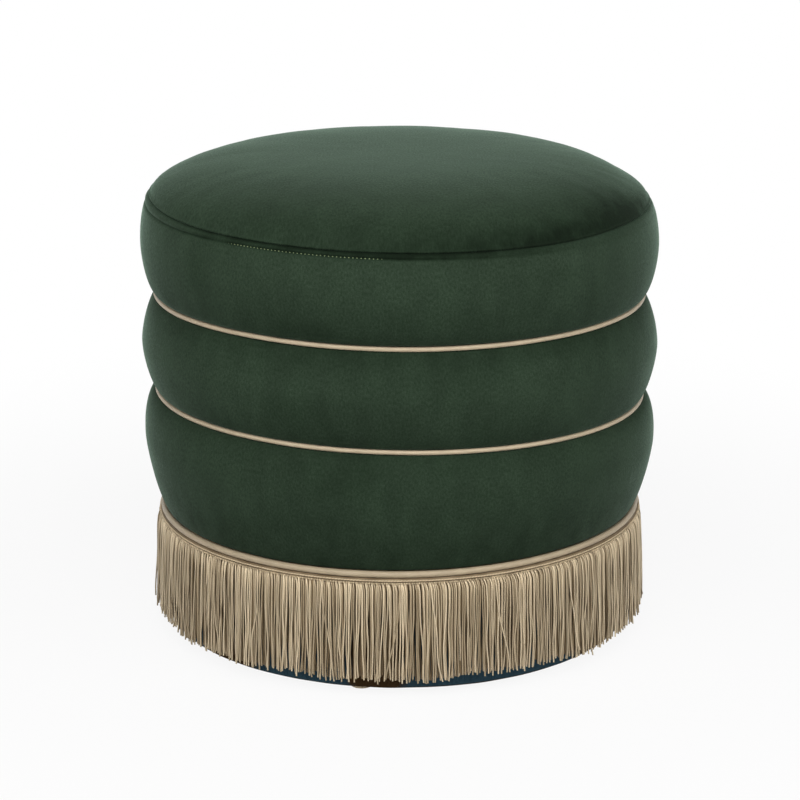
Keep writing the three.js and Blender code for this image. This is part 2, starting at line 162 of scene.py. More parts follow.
class Wire:
    """A node's output that can be reckoned with: each sum or product adds a Math node."""

    def __init__(self, wiring, socket):
        self.wiring = wiring
        self.socket = socket

    def __add__(self, other):
        return self.wiring.calc("ADD", self, other)

    def __sub__(self, other):
        return self.wiring.calc("SUBTRACT", self, other)

    def __rsub__(self, other):
        return self.wiring.calc("SUBTRACT", other, self)

    def __mul__(self, other):
        return self.wiring.calc("MULTIPLY", self, other)

    def __truediv__(self, other):
        return self.wiring.calc("DIVIDE", self, other)

    def __rtruediv__(self, other):
        return self.wiring.calc("DIVIDE", other, self)

    def __pow__(self, other):
        return self.wiring.calc("POWER", self, other)


class Wiring:
    """Adds nodes to a tree and joins their sockets."""

    def __init__(self, tree):
        self.tree = tree

    def add(self, kind, inputs=None, **settings):
        node = self.tree.nodes.new(kind)
        for name, value in settings.items():
            setattr(node, name, value)
        for name, value in (inputs or {}).items():
            self.feed(node.inputs[name], value)
        return node

    def feed(self, socket, value):
        if isinstance(value, Wire):
            self.tree.links.new(value.socket, socket)
        else:
            socket.default_value = value

    def out(self, kind, inputs=None, output=0, **settings):
        """Adds a node and gives one of its outputs."""
        return Wire(self, self.add(kind, inputs, **settings).outputs[output])

    def shape(self, kind, inputs=None, **settings):
        """Adds one of the nodes for geometry and gives its first output."""
        return self.out("GeometryNode" + kind, inputs, **settings)

    def calc(self, operation, *values):
        return self.out("ShaderNodeMath", dict(enumerate(values)), operation=operation)

    def sine(self, value):
        return self.calc("SINE", value)

    def cosine(self, value):
        return self.calc("COSINE", value)

    def vector(self, operation, *values, output=0):
        values = dict(enumerate(values))
        return self.out("ShaderNodeVectorMath", values, output, operation=operation)

    def xyz(self, x, y, z):
        return self.out("ShaderNodeCombineXYZ", {0: x, 1: y, 2: z})

    def polar(self, turn, radius, height):
        return self.xyz(self.cosine(turn) * radius, self.sine(turn) * radius, height)

    def split(self, vector):
        outputs = self.add("ShaderNodeSeparateXYZ", {0: vector}).outputs
        return [Wire(self, output) for output in outputs]

    def ranged(self, value, low, high, to_low=0.0, to_high=1.0, smooth=False):
        inputs = {0: value, 1: low, 2: high, 3: to_low, 4: to_high}
        kind = "SMOOTHSTEP" if smooth else "LINEAR"
        return self.out("ShaderNodeMapRange", inputs, interpolation_type=kind)

    def noise(self, vector, scale, detail=2.0, roughness=0.5, output=0):
        """Noise at one scale, or at a scale for each axis."""
        if isinstance(scale, tuple):
            vector, scale = self.vector("MULTIPLY", vector, scale), 1.0
        inputs = {"Vector": vector, "Scale": scale, "Detail": detail, "Roughness": roughness}
        return self.out("ShaderNodeTexNoise", inputs, output)

    def blend(self, share, first, second, mode="MIX"):
        inputs = {0: share, 6: first, 7: second}
        return self.out("ShaderNodeMix", inputs, 2, data_type="RGBA", blend_type=mode)

    def shaded(self, colour, tone):
        return self.blend(1.0, colour, self.xyz(tone, tone, tone), "MULTIPLY")

    def chance(self, number, low, high, seed):
        """A random value for each numbered strand or stitch."""
        inputs = {2: low, 3: high, "ID": number, "Seed": seed}
        return self.out("FunctionNodeRandomValue", inputs, 1, data_type="FLOAT")

    def remember(self, geometry, name, value, kind="FLOAT"):
        """Stores a named value on each point, for the materials to read."""
        inputs = {"Geometry": geometry, "Name": name, "Value": value}
        return self.shape("StoreNamedAttribute", inputs, data_type=kind)

    def join(self, *parts):
        node = self.add("GeometryNodeJoinGeometry")
        for part in parts:
            self.feed(node.inputs[0], part)
        return Wire(self, node.outputs[0])


# Materials


class Finish(Wiring):
    """A material in the making, with the places that its patterns read."""

    def __init__(self, name):
        self.material = bpy.data.materials.new(name)
        self.material.use_nodes = True
        self.material.node_tree.nodes.clear()
        super().__init__(self.material.node_tree)
        self.place = self.out("ShaderNodeTexCoord", output="Object")

    def cloth_place(self):
        return self.out("ShaderNodeUVMap", uv_map="cloth")

    def named(self, name, output="Fac"):
        settings = {"attribute_name": name, "attribute_type": "GEOMETRY"}
        return self.out("ShaderNodeAttribute", output=output, **settings)

    def twist(self, along, around):
        """Lines that wind round a cord: their number along it, and round its section."""
        x, y, _ = self.split(self.named("side", "Vector"))
        wave = self.sine(self.named("run") * along + self.calc("ARCTAN2", y, x) * around)
        return self.ranged(wave, -1.0, 1.0)

    def dress(self, values, colour, bumps=()):
        """Ends the material with its shader's values, its colour and its layers of bump."""
        shader = self.add("ShaderNodeBsdfPrincipled", {**values, "Base Color": colour})
        normal = None
        for height, distance, strength in bumps:
            inputs = {"Height": height, "Distance": distance, "Strength": strength}
            if normal is not None:
                inputs["Normal"] = normal
            normal = self.out("ShaderNodeBump", inputs)
        self.feed(shader.inputs["Normal"], normal)
        return self.end(Wire(self, shader.outputs[0]))

    def end(self, surface):
        self.add("ShaderNodeOutputMaterial", {"Surface": surface})
        return self.material


def green_velvet():
    finish = Finish("green_velvet")
    place, cloth = finish.place, finish.cloth_place()
    nap = finish.noise(place, 9.0, 3.0, 0.55)
    brushed = finish.noise(place, (42.0, 42.0, 20.0), 3.0, 0.6)
    pile = finish.noise(cloth, (540.0, 330.0, 1.0), 3.0, 0.65)
    grain = finish.noise(cloth, (1300.0, 1300.0, 1.0), 1.0)
    lay = finish.ranged(nap * 0.5 + brushed * 0.5, 0.34, 0.66)
    ruffled = finish.noise(place, (55.0, 55.0, 38.0), 4.0, 0.6)
    ruffled = finish.ranged(ruffled, 0.34, 0.66, 0.72, 1.28)
    # brushed holds random nap marks and painted shade: low on each tier, round the seam and at the
    # top's front edge; it darkens the colour and the sheen
    mark = finish.ranged(finish.named("brushed") * ruffled, -1.2, 1.2, 0.2, 1.8)
    streak = finish.ranged(pile, 0.3, 0.7, 0.68, 1.32)
    speck = finish.ranged(grain, 0.3, 0.7, 0.84, 1.16)
    tone = streak * speck * mark
    colour = finish.blend(lay, (0.0185, 0.0325, 0.0185, 1), (0.0275, 0.0475, 0.0275, 1))
    colour = finish.blend(1.0, colour, finish.xyz(tone, tone**0.82, tone), "MULTIPLY")
    grazing = finish.out("ShaderNodeLayerWeight", {"Blend": 0.5}, "Facing")
    rim = finish.ranged(grazing**6.0, 0.0, 1.0, 0.205, 0.60)
    values = {
        "Roughness": 0.85,
        "Specular IOR Level": 0.09,
        "Sheen Weight": tone * rim,
        "Sheen Roughness": 0.38,
        "Sheen Tint": (0.62, 0.87, 0.70, 1),
    }
    bumps = ((brushed, 0.0012, 0.25), (pile, 0.0005, 0.35), (grain, 0.00025, 0.3))
    return finish.dress(values, colour, bumps)


def satin_cord_cloth(name, dark, light):
    """Satin cut on the bias, whose threads wind round the cord."""
    finish = Finish(name)
    lines = finish.twist(9000.0, 9.0)
    slub = finish.noise(finish.place, (90.0, 90.0, 240.0), 3.0, 0.55)
    soil = finish.ranged(finish.noise(finish.place, 16.0), 0.45, 0.75, 0.0, 0.25)
    colour = finish.blend(finish.ranged(slub, 0.2, 0.8), dark, light)
    colour = finish.blend(soil, colour, (0.42, 0.32, 0.22, 1))
    values = {
        "Roughness": finish.ranged(slub, 0.3, 0.7, 0.34, 0.5),
        "Specular IOR Level": 0.45,
        "Sheen Weight": 0.15,
        "Sheen Roughness": 0.3,
    }
    return finish.dress(values, colour, ((slub, 0.0004, 0.3), (lines, 0.00008, 0.5)))


def fringe_yarn(name, dark, light):
    """Twisted yarn whose tone changes from strand to strand, with painted shade at its sides and in
    its twist, and a painted highlight near its top.
    """
    finish = Finish(name)
    place = finish.place
    ply = finish.twist(3600.0, 2.0)
    fibre = finish.noise(place, (1400.0, 1400.0, 500.0), 1.0)
    tone = finish.noise(place, (60.0, 60.0, 22.0))
    colour = finish.blend(finish.named("strand") * 0.75 + tone * 0.25, dark, light)
    # Painted highlight: the top of each strand is made lighter
    painted_top_light = finish.ranged(finish.named("run"), 0.003, 0.028, 1.2, 1.0)
    normal = finish.out("ShaderNodeTexCoord", output="Normal")
    outward = finish.vector("NORMALIZE", finish.vector("MULTIPLY", place, (1.0, 1.0, 0.0)))
    facing = finish.vector("DOT_PRODUCT", normal, outward, output="Value")
    # Painted shade in the twist's grooves, and at each strand's sides where it meets its neighbours
    groove = finish.ranged(ply, 0.0, 0.5, 0.8, 1.0) * painted_top_light
    colour = finish.shaded(colour, groove * finish.ranged(facing, 0.0, 0.6, 0.68, 1.0))
    values = {
        "Roughness": finish.ranged(fibre, 0.3, 0.7, 0.34, 0.5),
        "Specular IOR Level": 0.5,
        "Sheen Weight": 0.05,
        "Sheen Roughness": 0.4,
    }
    return finish.dress(values, colour, ((ply, 0.0002, 0.6), (fibre, 0.0001, 0.4)))


def heading_braid():
    finish = Finish("heading_braid")
    weave = finish.noise(finish.place, (700.0, 700.0, 1500.0))
    # strand sets the tone: random for the loops, a painted dark and light ply for the twisted cord,
    # and a dark tape painted as the shade under the cord
    tone = finish.noise(finish.place, 60.0) * 0.4 + finish.named("strand") * 0.75
    colour = finish.blend(tone, (0.13, 0.085, 0.038, 1), (0.80, 0.64, 0.42, 1))
    values = {"Roughness": 0.6, "Specular IOR Level": 0.35, "Sheen Weight": 0.15}
    return finish.dress(values, colour, ((weave, 0.0003, 0.6),))


def sewing_thread():
    finish = Finish("sewing_thread")
    tone = finish.noise(finish.place, 300.0)
    colour = finish.blend(tone, (0.16, 0.22, 0.10, 1), (0.37, 0.45, 0.22, 1))
    fibre = finish.noise(finish.place, 2500.0, 1.0)
    values = {"Roughness": 0.5, "Specular IOR Level": 0.4}
    return finish.dress(values, colour, ((fibre, 0.0001, 0.5),))


# Brown places on the plinth, each as its angle from the front in degrees and its half width
BROWN_PLACES = ((-47.0, 9.0), (-5.0, 6.6), (55.0, 8.5))
NAVY_WEAVE = 2 * math.pi / 0.0009
DUST_COVER_DOTS = 2 * math.pi / 0.003


def navy_plinth_cloth():
    finish = Finish("navy_plinth_cloth")
    place, cloth = finish.place, finish.cloth_place()
    threads = finish.vector("MULTIPLY", cloth, (NAVY_WEAVE, NAVY_WEAVE, 1.0))
    across, along, _ = finish.split(threads)
    weave = finish.ranged(finish.sine(across) * finish.sine(along), -1.0, 1.0)
    slub = finish.noise(cloth, (500.0, 90.0, 1.0))
    fade = finish.noise(place, 22.0, 3.0)
    colour = finish.blend(fade, (0.0190, 0.0470, 0.0680, 1), (0.0300, 0.0680, 0.0920, 1))
    tone = finish.ranged(weave, 0.0, 1.0, 0.78, 1.1) * finish.ranged(slub, 0.3, 0.7, 0.85, 1.12)
    colour = finish.shaded(colour, tone)
    x, y, height = finish.split(place)
    turn = finish.calc("ARCTAN2", x, y * -1.0)
    ragged = (finish.noise(place, 60.0) - 0.5) * 0.12
    low_edge = ((PLINTH_BOTTOM + 0.7) * MM, (PLINTH_BOTTOM + 1.5) * MM)
    brown = finish.ranged(height, *low_edge, 0.8, 0.0)
    for angle, half_width in BROWN_PLACES:
        away = finish.calc("ABSOLUTE", turn - math.radians(angle)) + ragged
        half = math.radians(half_width)
        here = finish.ranged(away, half * 0.8, half * 1.2, 0.95, 0.0, True)
        brown = finish.calc("MAXIMUM", brown, here)
    colour = finish.blend(brown, colour, (0.040, 0.0185, 0.002, 1))
    values = {
        "Roughness": 0.88,
        "Specular IOR Level": 0.12,
        "Sheen Weight": 0.04,
        "Sheen Roughness": 0.5,
    }
    return finish.dress(values, colour, ((weave, 0.00025, 0.5), (slub, 0.0002, 0.4)))


def black_dust_cloth():
    finish = Finish("black_dust_cloth")
    dotted = finish.vector("MULTIPLY", finish.place, (DUST_COVER_DOTS, DUST_COVER_DOTS, 1.0))
    x, y, _ = finish.split(dotted)
    dots = finish.ranged(finish.sine(x) * finish.sine(y), 0.3, 0.8)
    web = finish.noise(finish.place, (420.0, 160.0, 1.0), 4.0, 0.65)
    colour = finish.blend(web, (0.0045, 0.0045, 0.0050, 1), (0.0170, 0.0170, 0.0180, 1))
    values = {"Roughness": 0.8, "Specular IOR Level": 0.3, "Sheen Weight": 0.1}
    return finish.dress(values, colour, ((dots, 0.0003, 0.5), (web, 0.0003, 0.6)))


def tan_nylon():
    finish = Finish("tan_nylon")
    cloud = finish.noise(finish.place, 90.0)
    scuff = finish.noise(finish.place, (300.0, 900.0, 300.0), 3.0)
    # Painted light: the nylon is made lighter, for the glides' edges that sit in the plinth's shade
    colour = finish.blend(cloud, (0.68, 0.545, 0.36, 1), (0.78, 0.64, 0.44, 1))
    scuffed = finish.ranged(scuff, 0.55, 0.75, 0.0, 0.35)
    colour = finish.blend(scuffed, colour, (0.20, 0.15, 0.10, 1))
    values = {"Roughness": finish.ranged(scuff, 0.3, 0.7, 0.35, 0.55), "Specular IOR Level": 0.45}
    return finish.dress(values, colour, ((scuff, 0.0001, 0.3),))


def zinc_steel():
    finish = Finish("zinc_steel")
    brushed = finish.noise(finish.place, (300.0, 300.0, 2500.0))
    spangle = finish.noise(finish.place, 260.0, 1.0)
    colour = finish.blend(spangle, (0.48, 0.49, 0.50, 1), (0.66, 0.67, 0.68, 1))
    values = {"Roughness": finish.ranged(brushed, 0.3, 0.7, 0.25, 0.42), "Metallic": 1.0}
    return finish.dress(values, colour, ((brushed, 0.00005, 0.4),))


def timber(name, pale, dark, grain_scale, ply=0.0):
    """Bare wood with long grain; ply is the thickness of one ply, or 0 for solid wood."""
    finish = Finish(name)
    rings = finish.noise(finish.place, grain_scale, 4.0, 0.6)
    pores = finish.noise(finish.place, tuple(8 * scale for scale in grain_scale))
    colour = finish.blend(finish.ranged(rings, 0.35, 0.65), pale, dark)
    if ply:
        layer = finish.sine(finish.split(finish.place)[2] * (math.pi / ply))
        colour = finish.blend(finish.ranged(layer, -0.2, 0.2, 0.0, 0.3), colour, dark)
    values = {"Roughness": finish.ranged(pores, 0.3, 0.7, 0.6, 0.8), "Specular IOR Level": 0.3}
    return finish.dress(values, colour, ((pores, 0.0002, 0.4),))


VELVET = green_velvet()
SATIN = satin_cord_cloth("satin_cord_cloth", (0.46, 0.37, 0.242, 1), (0.58, 0.475, 0.325, 1))
# Painted shade: a darker copy of the satin for the skirt cord, which faces up to the light more
# than the other cords
PAINTED_SHADE_SKIRT_SATIN = satin_cord_cloth("skirt_satin", (0.37, 0.295, 0.190, 1), (0.49, 0.395, 0.265, 1))
YARN = fringe_yarn("fringe_yarn", (0.25, 0.18, 0.096, 1), (0.83, 0.685, 0.465, 1))
# Painted shade: a darker copy of the fringe yarn for the inner layer, which hangs in shade behind
# the outer one
PAINTED_SHADE_YARN = fringe_yarn("shaded_yarn", (0.070, 0.040, 0.012, 1), (0.33, 0.235, 0.12, 1))
BRAID = heading_braid()
THREAD = sewing_thread()
NAVY = navy_plinth_cloth()
BLACK = black_dust_cloth()
NYLON = tan_nylon()
STEEL = zinc_steel()
PLYWOOD = timber(
    "birch_plywood", (0.60, 0.42, 0.22, 1), (0.42, 0.26, 0.12, 1), (6.0, 60.0, 60.0), 0.0013
)
PINE = timber("pine", (0.68, 0.48, 0.25, 1), (0.50, 0.30, 0.13, 1), (70.0, 70.0, 5.0))
FIBREBOARD = timber(
    "fibreboard", (0.27, 0.17, 0.085, 1), (0.20, 0.12, 0.058, 1), (120.0, 120.0, 90.0)
)


# Pieces


def add_object(name, mesh, material):
    mesh.materials.clear()
    mesh.materials.append(material)
    piece = bpy.data.objects.new(name, mesh)
    SCENE.collection.objects.link(piece)
    return piece


def cloth_mesh(name, points, faces, spots, brushed=None):
    """A smooth mesh from points in millimetres, with spots as the UV place of each face corner.

    brushed says how much lighter (or, below 0, darker) the velvet is made at each point: random nap
    marks, and painted shade.
    """
    mesh = bpy.data.meshes.new(name)
    mesh.from_pydata((points * MM).tolist(), [], faces.tolist())
    layer = mesh.uv_layers.new(name="cloth")
    layer.data.foreach_set("uv", (spots * MM).astype(np.float32).ravel())
    if brushed is not None:
        values = mesh.attributes.new("brushed", "FLOAT", "POINT")
        values.data.foreach_set("value", brushed.astype(np.float32).ravel())
    mesh.shade_smooth()
    return mesh


def degrees_from_front(points):
    """Each point's angle round the tuffet, from the front and towards the right."""
    return np.degrees(np.arctan2(points[:, 0], -points[:, 1]))


def level_drops():
    """Each level's drop for every degree from the front, smoothed round the tuffet."""
    degrees = np.arange(360)
    away = np.minimum(degrees, 360 - degrees)
    soft = np.exp(-((away / LEVEL_SOFTNESS) ** 2))
    soft /= soft.sum()
    rows = [np.interp(degrees, LEVEL_ANGLES, drops, period=360) for drops in OUT_OF_LEVEL.values()]
    return [np.fft.ifft(np.fft.fft(row) * np.fft.fft(soft)).real for row in rows]


LEVEL_DROPS = level_drops()


def settle(points):
    """Lowers points as the hand-built tiers sit, each a little out of level. Millimetres."""
    degrees = degrees_from_front(points)
    drops = np.stack([np.interp(degrees, np.arange(360), row, period=360) for row in LEVEL_DROPS])
    level = np.interp(points[:, 2], list(OUT_OF_LEVEL), np.arange(len(OUT_OF_LEVEL)))
    below = np.minimum(level.astype(int), len(OUT_OF_LEVEL) - 2)
    every = np.arange(len(points))
    low, high = drops[below, every], drops[below + 1, every]
    outward = np.clip(np.hypot(points[:, 0], points[:, 1]) / SEAM_RADIUS, 0, 1)
    settled = points.copy()
    settled[:, 2] -= outward * (low + (level - below) * (high - low))
    return settled


def finish_piece(piece, slot, *stands_for):
    """Settles a finished mesh, parents it to the body, and hides the CAD nodes that it stands for.
    """
    points = np.empty(len(piece.data.vertices) * 3, np.float32)
    piece.data.vertices.foreach_get("co", points)
    settled = settle(points.reshape(-1, 3) / MM) * MM
    piece.data.vertices.foreach_set("co", settled.astype(np.float32).ravel())
    piece.data.update()
    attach(piece, "root")
    if stands_for:
        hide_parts(*stands_for)
    return piece


def subdivide_once(piece):
    modifier = piece.modifiers.new("smooth", "SUBSURF")
    modifier.levels = modifier.render_levels = 1


def tier_columns():
    """Angles of the columns, from the join at the back, closer together beside it."""
    beside = np.array([0.7, 1.5, 2.6]) / CLOTH_RADIUS
    middle = np.linspace(beside[-1], 2 * math.pi - beside[-1], COLUMNS - 5)
    ends = beside[:-1]
    return JOIN_TURN + np.concatenate(([0.0], ends, middle, 2 * math.pi - ends[::-1]))


def even_columns(count):
    return JOIN_TURN + np.arange(count) * 2 * math.pi / count


def ring_points(profile, turns):
    radius, height = profile[:, 0, None], profile[:, 1, None]
    x, y = radius * np.cos(turns)[None, :], radius * np.sin(turns)[None, :]
    return np.stack([x, y, np.broadcast_to(height, x.shape)], -1)


def ring_faces(rows, columns):
    """Quads of a closed ring: anticlockwise profiles give faces that point outwards."""
    row, column = np.meshgrid(np.arange(rows), np.arange(columns), indexing="ij")
    above, beside = (row + 1) % rows, (column + 1) % columns
    corners = [row * columns + column, row * columns + beside]
    corners += [above * columns + beside, above * columns + column]
    return np.stack(corners, -1).reshape(-1, 4)


def ring_spots(profile, turns):
    """UV place of each corner: millimetres round the tuffet, and along the profile."""
    steps = np.linalg.norm(np.diff(profile, axis=0, append=profile[:1]), axis=1)
    along = np.concatenate(([0.0], np.cumsum(steps)))
    round_it = np.append(turns - turns[0], 2 * math.pi) * CLOTH_RADIUS
    row, column = np.meshgrid(np.arange(len(profile)), np.arange(len(turns)), indexing="ij")
    corners = [(row, column), (row, column + 1), (row + 1, column + 1), (row + 1, column)]
    spots = [np.stack([round_it[c], along[r]], -1) for r, c in corners]
    return np.stack(spots, 2).reshape(-1, 2)


def ring_piece_mesh(name, profile, turns, points=None, brushed=None):
    points = ring_points(profile, turns) if points is None else points
    faces = ring_faces(len(profile), len(turns))
    return cloth_mesh(name, points.reshape(-1, 3), faces, ring_spots(profile, turns), brushed)


# Painted shade on a tier at shares of its height: dark just above its lower cord and at its top
# under the upper cord, a little lighter between
PAINTED_SHADE_SHARES = (0.0, 0.12, 0.55, 0.8, 0.93, 1.0)
PAINTED_SHADE_BY_SHARE = (-0.44, -0.38, 0.04, 0.12, -0.02, -0.2)


def tier_painted_shade(heights, low, high, shade=(0.0, 0.0)):
    """Painted shade on a tier by height. shade paints all of it darker, and then its upper part."""
    share = np.clip((heights - low) / (high - low), 0, 1)
    nap = np.interp(share, PAINTED_SHADE_SHARES, PAINTED_SHADE_BY_SHARE)
    return nap - shade[0] - shade[1] * np.clip((share - 0.6) / 0.3, 0, 1)


def nap_marks(points, seed):
    """Soft places where the nap was brushed lighter or darker, at points in millimetres."""
    chance = np.random.default_rng(seed)
    low, high = points[:, 2].min(), points[:, 2].max()
    marks = np.zeros(len(points))
    for _ in range(60):
        turn, share = chance.uniform(0, 2 * math.pi), chance.uniform()
        height = low + share * (high - low)
        centre = [SEAT_CREST * math.cos(turn), SEAT_CREST * math.sin(turn), height]
        size = chance.uniform([12.0, 12.0, 6.0], [45.0, 45.0, 22.0])
        marks += chance.normal() * np.exp(-(((points - centre) / size) ** 2).sum(-1))
    return 0.16 * marks


# Padded tiers


def bulge(bottom, top, crest, roundness, shares, crest_share=0.0, low_roundness=None):
    """Outline of a padded tier between its two cords, as (radius, height) rows."""
    lower_radius, lower_height = bottom
    upper_radius, upper_height = top
    middle, half = (lower_height + upper_height) / 2, (upper_height - lower_height) / 2
    base = lower_radius + (upper_radius - lower_radius) * (shares + 1) / 2
    above = (shares - crest_share) / (1 - crest_share)
    below = (crest_share - shares) / (1 + crest_share)
    power = np.where(shares < crest_share, low_roundness or roundness, roundness)
    swell = (1 - np.clip(np.maximum(above, below), 0, 1) ** power) ** (1 / power)
    crest_over = crest - (lower_radius + upper_radius) / 2
    return np.stack([base + crest_over * swell, middle + half * shares], -1)


def crowded_shares(count):
    """Shares from -1 to 1 that lie closer together towards both ends."""
    even = np.linspace(-1, 1, count)
    return np.sign(even) * (1 - (1 - np.abs(even)) ** 1.45)


def tucked_in(outer, inner_radius):
    """Closes an outline with its tucks under the cords and its wall against the drum."""
    top, bottom = outer[-1], outer[0]
    inwards = np.linspace(0, 1, 5)[1:, None]
    top_corner = np.array([inner_radius, top[1]])
    bottom_corner = np.array([inner_radius, bottom[1]])
    over = top + (top_corner - top) * inwards
    wall = top_corner + (bottom_corner - top_corner) * inwards
    under = bottom_corner + (bottom - bottom_corner) * inwards[:-1]
    return np.concatenate([outer, over, wall, under])


SWELL_FRAMES = 20


def swell(name, points, faces, held, cut):
    """Inflates a cover that starts at points, held at its sewn rows and cut to the shape cut."""
    mesh = bpy.data.meshes.new(name)
    mesh.from_pydata((points * MM).tolist(), [], faces.tolist())
    trial = bpy.data.objects.new(name, mesh)
    SCENE.collection.objects.link(trial)
    trial.shape_key_add(name="sewn")
    pattern = trial.shape_key_add(name="cut")
    pattern.data.foreach_set("co", (cut * MM).astype(np.float32).ravel())
    pattern.value = 0.0
    group = trial.vertex_groups.new(name="held")
    group.add(np.flatnonzero(held).tolist(), 1.0, "REPLACE")
    cloth = trial.modifiers.new("swell", "CLOTH")
    settings = cloth.settings
    settings.use_pressure = True
    settings.uniform_pressure_force = 4.0
    settings.effector_weights.gravity = 0.0
    settings.vertex_group_mass = "held"
    settings.rest_shape_key = pattern
    settings.tension_stiffness = 25.0
    settings.compression_stiffness = 25.0
    settings.bending_stiffness = 0.4
    cloth.point_cache.frame_start = 1
    cloth.point_cache.frame_end = SWELL_FRAMES
    for number in range(1, SWELL_FRAMES + 1):
        SCENE.frame_set(number)
    shaped = trial.evaluated_get(bpy.context.evaluated_depsgraph_get()).data
    ended = np.empty(len(shaped.vertices) * 3, np.float32)
    shaped.vertices.foreach_get("co", ended)
    bpy.data.objects.remove(trial)
    bpy.data.meshes.remove(mesh)
    SCENE.frame_set(1)
    return ended.reshape(-1, 3) / MM


def waves(turns, seed, counts, size):
    """A sum of waves round the tuffet, with seeded heights and starts."""
    chance = np.random.default_rng(seed)
    total = np.zeros_like(turns)
    for count in counts:
        total += chance.normal() * np.cos(count * turns + chance.uniform(0, 2 * math.pi))
    return total * size / math.sqrt(len(counts))


def padded_ring(name, outer, seed, inner_radius):
    """Shape of a padded tier: cloth held at its edges, lumpy, and puckered by a simulation."""
    turns = tier_columns()
    profile = tucked_in(outer, inner_radius)
    rows, columns = len(profile), len(turns)
    goal = ring_points(profile, turns)
    window = np.zeros(rows)
    window[: len(outer)] = np.sin(np.linspace(0, math.pi, len(outer))) ** 0.7
    window = window[:, None]
    outward = np.stack([np.cos(turns), np.sin(turns), np.zeros(columns)], -1)
    low, middle, high = (waves(turns, seed + k, (1, 2, 3, 5, 7, 11), LUMP_SIZE) for k in range(3))
    along = np.linspace(0, 2, rows)[:, None]
    lumps = low * np.clip(1 - along, 0, 1) + middle * (1 - np.abs(1 - along))
    lumps += high * np.clip(along - 1, 0, 1)
    goal = goal + (window * lumps)[..., None] * outward
    goal = goal + puckers(name, outer, seed, profile, turns, goal, window, outward)
    return profile, turns, goal


def puckers(name, outer, seed, profile, turns, goal, window, outward):
    """How far the swollen cloth lies from its smooth shape, without each row's mean move."""
    shape = goal.shape[:2]
    chance = np.random.default_rng(seed)
    steps = np.linalg.norm(np.diff(outer, axis=0), axis=1)
    cut_profile = profile.copy()
    cut_profile[: len(outer), 0] = outer[:, 0].max()
    cut_profile[: len(outer), 1] = outer[0, 1] + np.concatenate(([0.0], np.cumsum(steps)))
    inwards = window * chance.normal(0, START_CHANCE, shape) - START_INSIDE * window
    start = goal + inwards[..., None] * outward
    held = np.ones(shape, bool)
    held[1 : len(outer) - 1] = False
    cut = ring_points(cut_profile, turns).reshape(-1, 3)
    ended = swell(name, start.reshape(-1, 3), ring_faces(*shape), held.ravel(), cut)
    moved = ended.reshape(goal.shape) - start
    uneven = moved - moved_by_row(moved, turns)
    size = np.linalg.norm(uneven, axis=-1, keepdims=True)
    return uneven * (PUCKER * PUCKER_LIMIT / np.maximum(size, PUCKER_LIMIT))


def moved_by_row(moved, turns):
    """The mean move of each row, outwards and upwards, as seen at each column."""
    outward = np.stack([np.cos(turns), np.sin(turns)], -1)
    out = (moved[..., :2] * outward).sum(-1).mean(1)
    up = np.broadcast_to(moved[..., 2].mean(1)[:, None, None], moved.shape[:2] + (1,))
    return np.concatenate([out[:, None, None] * outward, up], -1)


def sew_join(goal, rows, depth):
    """Draws in the upright join at the back, with a soft lip on each side."""
    draw = np.array([depth, 0.55 * depth, 0.05 * depth, -0.15 * depth])
    for step, pull in enumerate(draw):
        for column in {step, -step % goal.shape[1]}:
            flat = goal[:rows, column, :2]
            radius = np.linalg.norm(flat, axis=-1, keepdims=True)
            goal[:rows, column, :2] = flat * (1 - pull / radius)


def velvet_piece(name, mesh, *stands_for):
    """A padded velvet piece, subdivided once and settled."""
    piece = add_object(name, mesh, VELVET)
    subdivide_once(piece)
    return finish_piece(piece, "velvet", *stands_for)


def velvet_roll(name, lower, upper, crest, roundness, seed, shade, tuck=0.0, **shape):
    bottom = (lower[0] - tuck, lower[1] + lower[2] + CLEARANCE)
    top = (upper[0], upper[1] - upper[2] - CLEARANCE)
    outer = bulge(bottom, top, crest, roundness, crowded_shares(39), **shape)
    profile, turns, goal = padded_ring(name, outer, seed, DRUM_RADIUS + CLEARANCE)
    sew_join(goal, len(outer), 1.3)
    cover = goal.reshape(-1, 3)
    # brushed: random nap marks, and painted shade by height on the tier
    brushed = nap_marks(cover, seed) + tier_painted_shade(cover[:, 2], bottom[1], top[1], shade)
    mesh = ring_piece_mesh(name, profile, turns, goal, brushed)
    roll = velvet_piece(name, mesh, name + "_cover", name + "_foam")


def lower_roll():
    cords = (SKIRT_CORD, MIDDLE_CORD)
    # The last tuple paints the whole lower roll a little darker, as shade
    velvet_roll("lower_roll", *cords, LOWER_CREST, LOWER_ROUNDNESS, 11, (0.22, 0.0), **LOWER_SHAPE)


def middle_roll():
    cords = (MIDDLE_CORD, UPPER_CORD)
    # The last tuple paints the middle roll's upper part darker, as shade
    velvet_roll("middle_roll", *cords, MIDDLE_CREST, MIDDLE_ROUNDNESS, 21, (0.03, 0.38))


# Painted shade round the seam: degrees from the front, then how dark the lip, the stitched groove
# and the crease are painted
SEAM_PAINTED_SHADES = np.array([
    [-180.0, 0.05, 0.30, 0.2],
    [-90.0, 0.05, 0.55, 0.4],
    [-56.0, 0.05, 0.85, 0.5],
    [-40.0, 0.70, 0.85, 0.5],
    [4.0, 1.05, 0.75, 0.4],
    [28.0, 0.50, 0.35, 0.05],
    [45.0, 0.10, 0.10, 0.0],
    [90.0, 0.05, 0.10, 0.1],
    [180.0, 0.05, 0.30, 0.2],
])
# Rows of points that end the seat's side above its bulge, drawn in under the top's edge
LIP_ROWS = np.array([
    [237.0, SEAM_HEIGHT - 0.5], [236.2, SEAM_HEIGHT - 0.1], [233.0, SEAM_HEIGHT],
])


def seam_painted_shades(points):
    """The three painted shades round the seam at each point's angle."""
    degrees = degrees_from_front(points)
    return [np.interp(degrees, SEAM_PAINTED_SHADES[:, 0], shades) for shades in SEAM_PAINTED_SHADES[:, 1:].T]


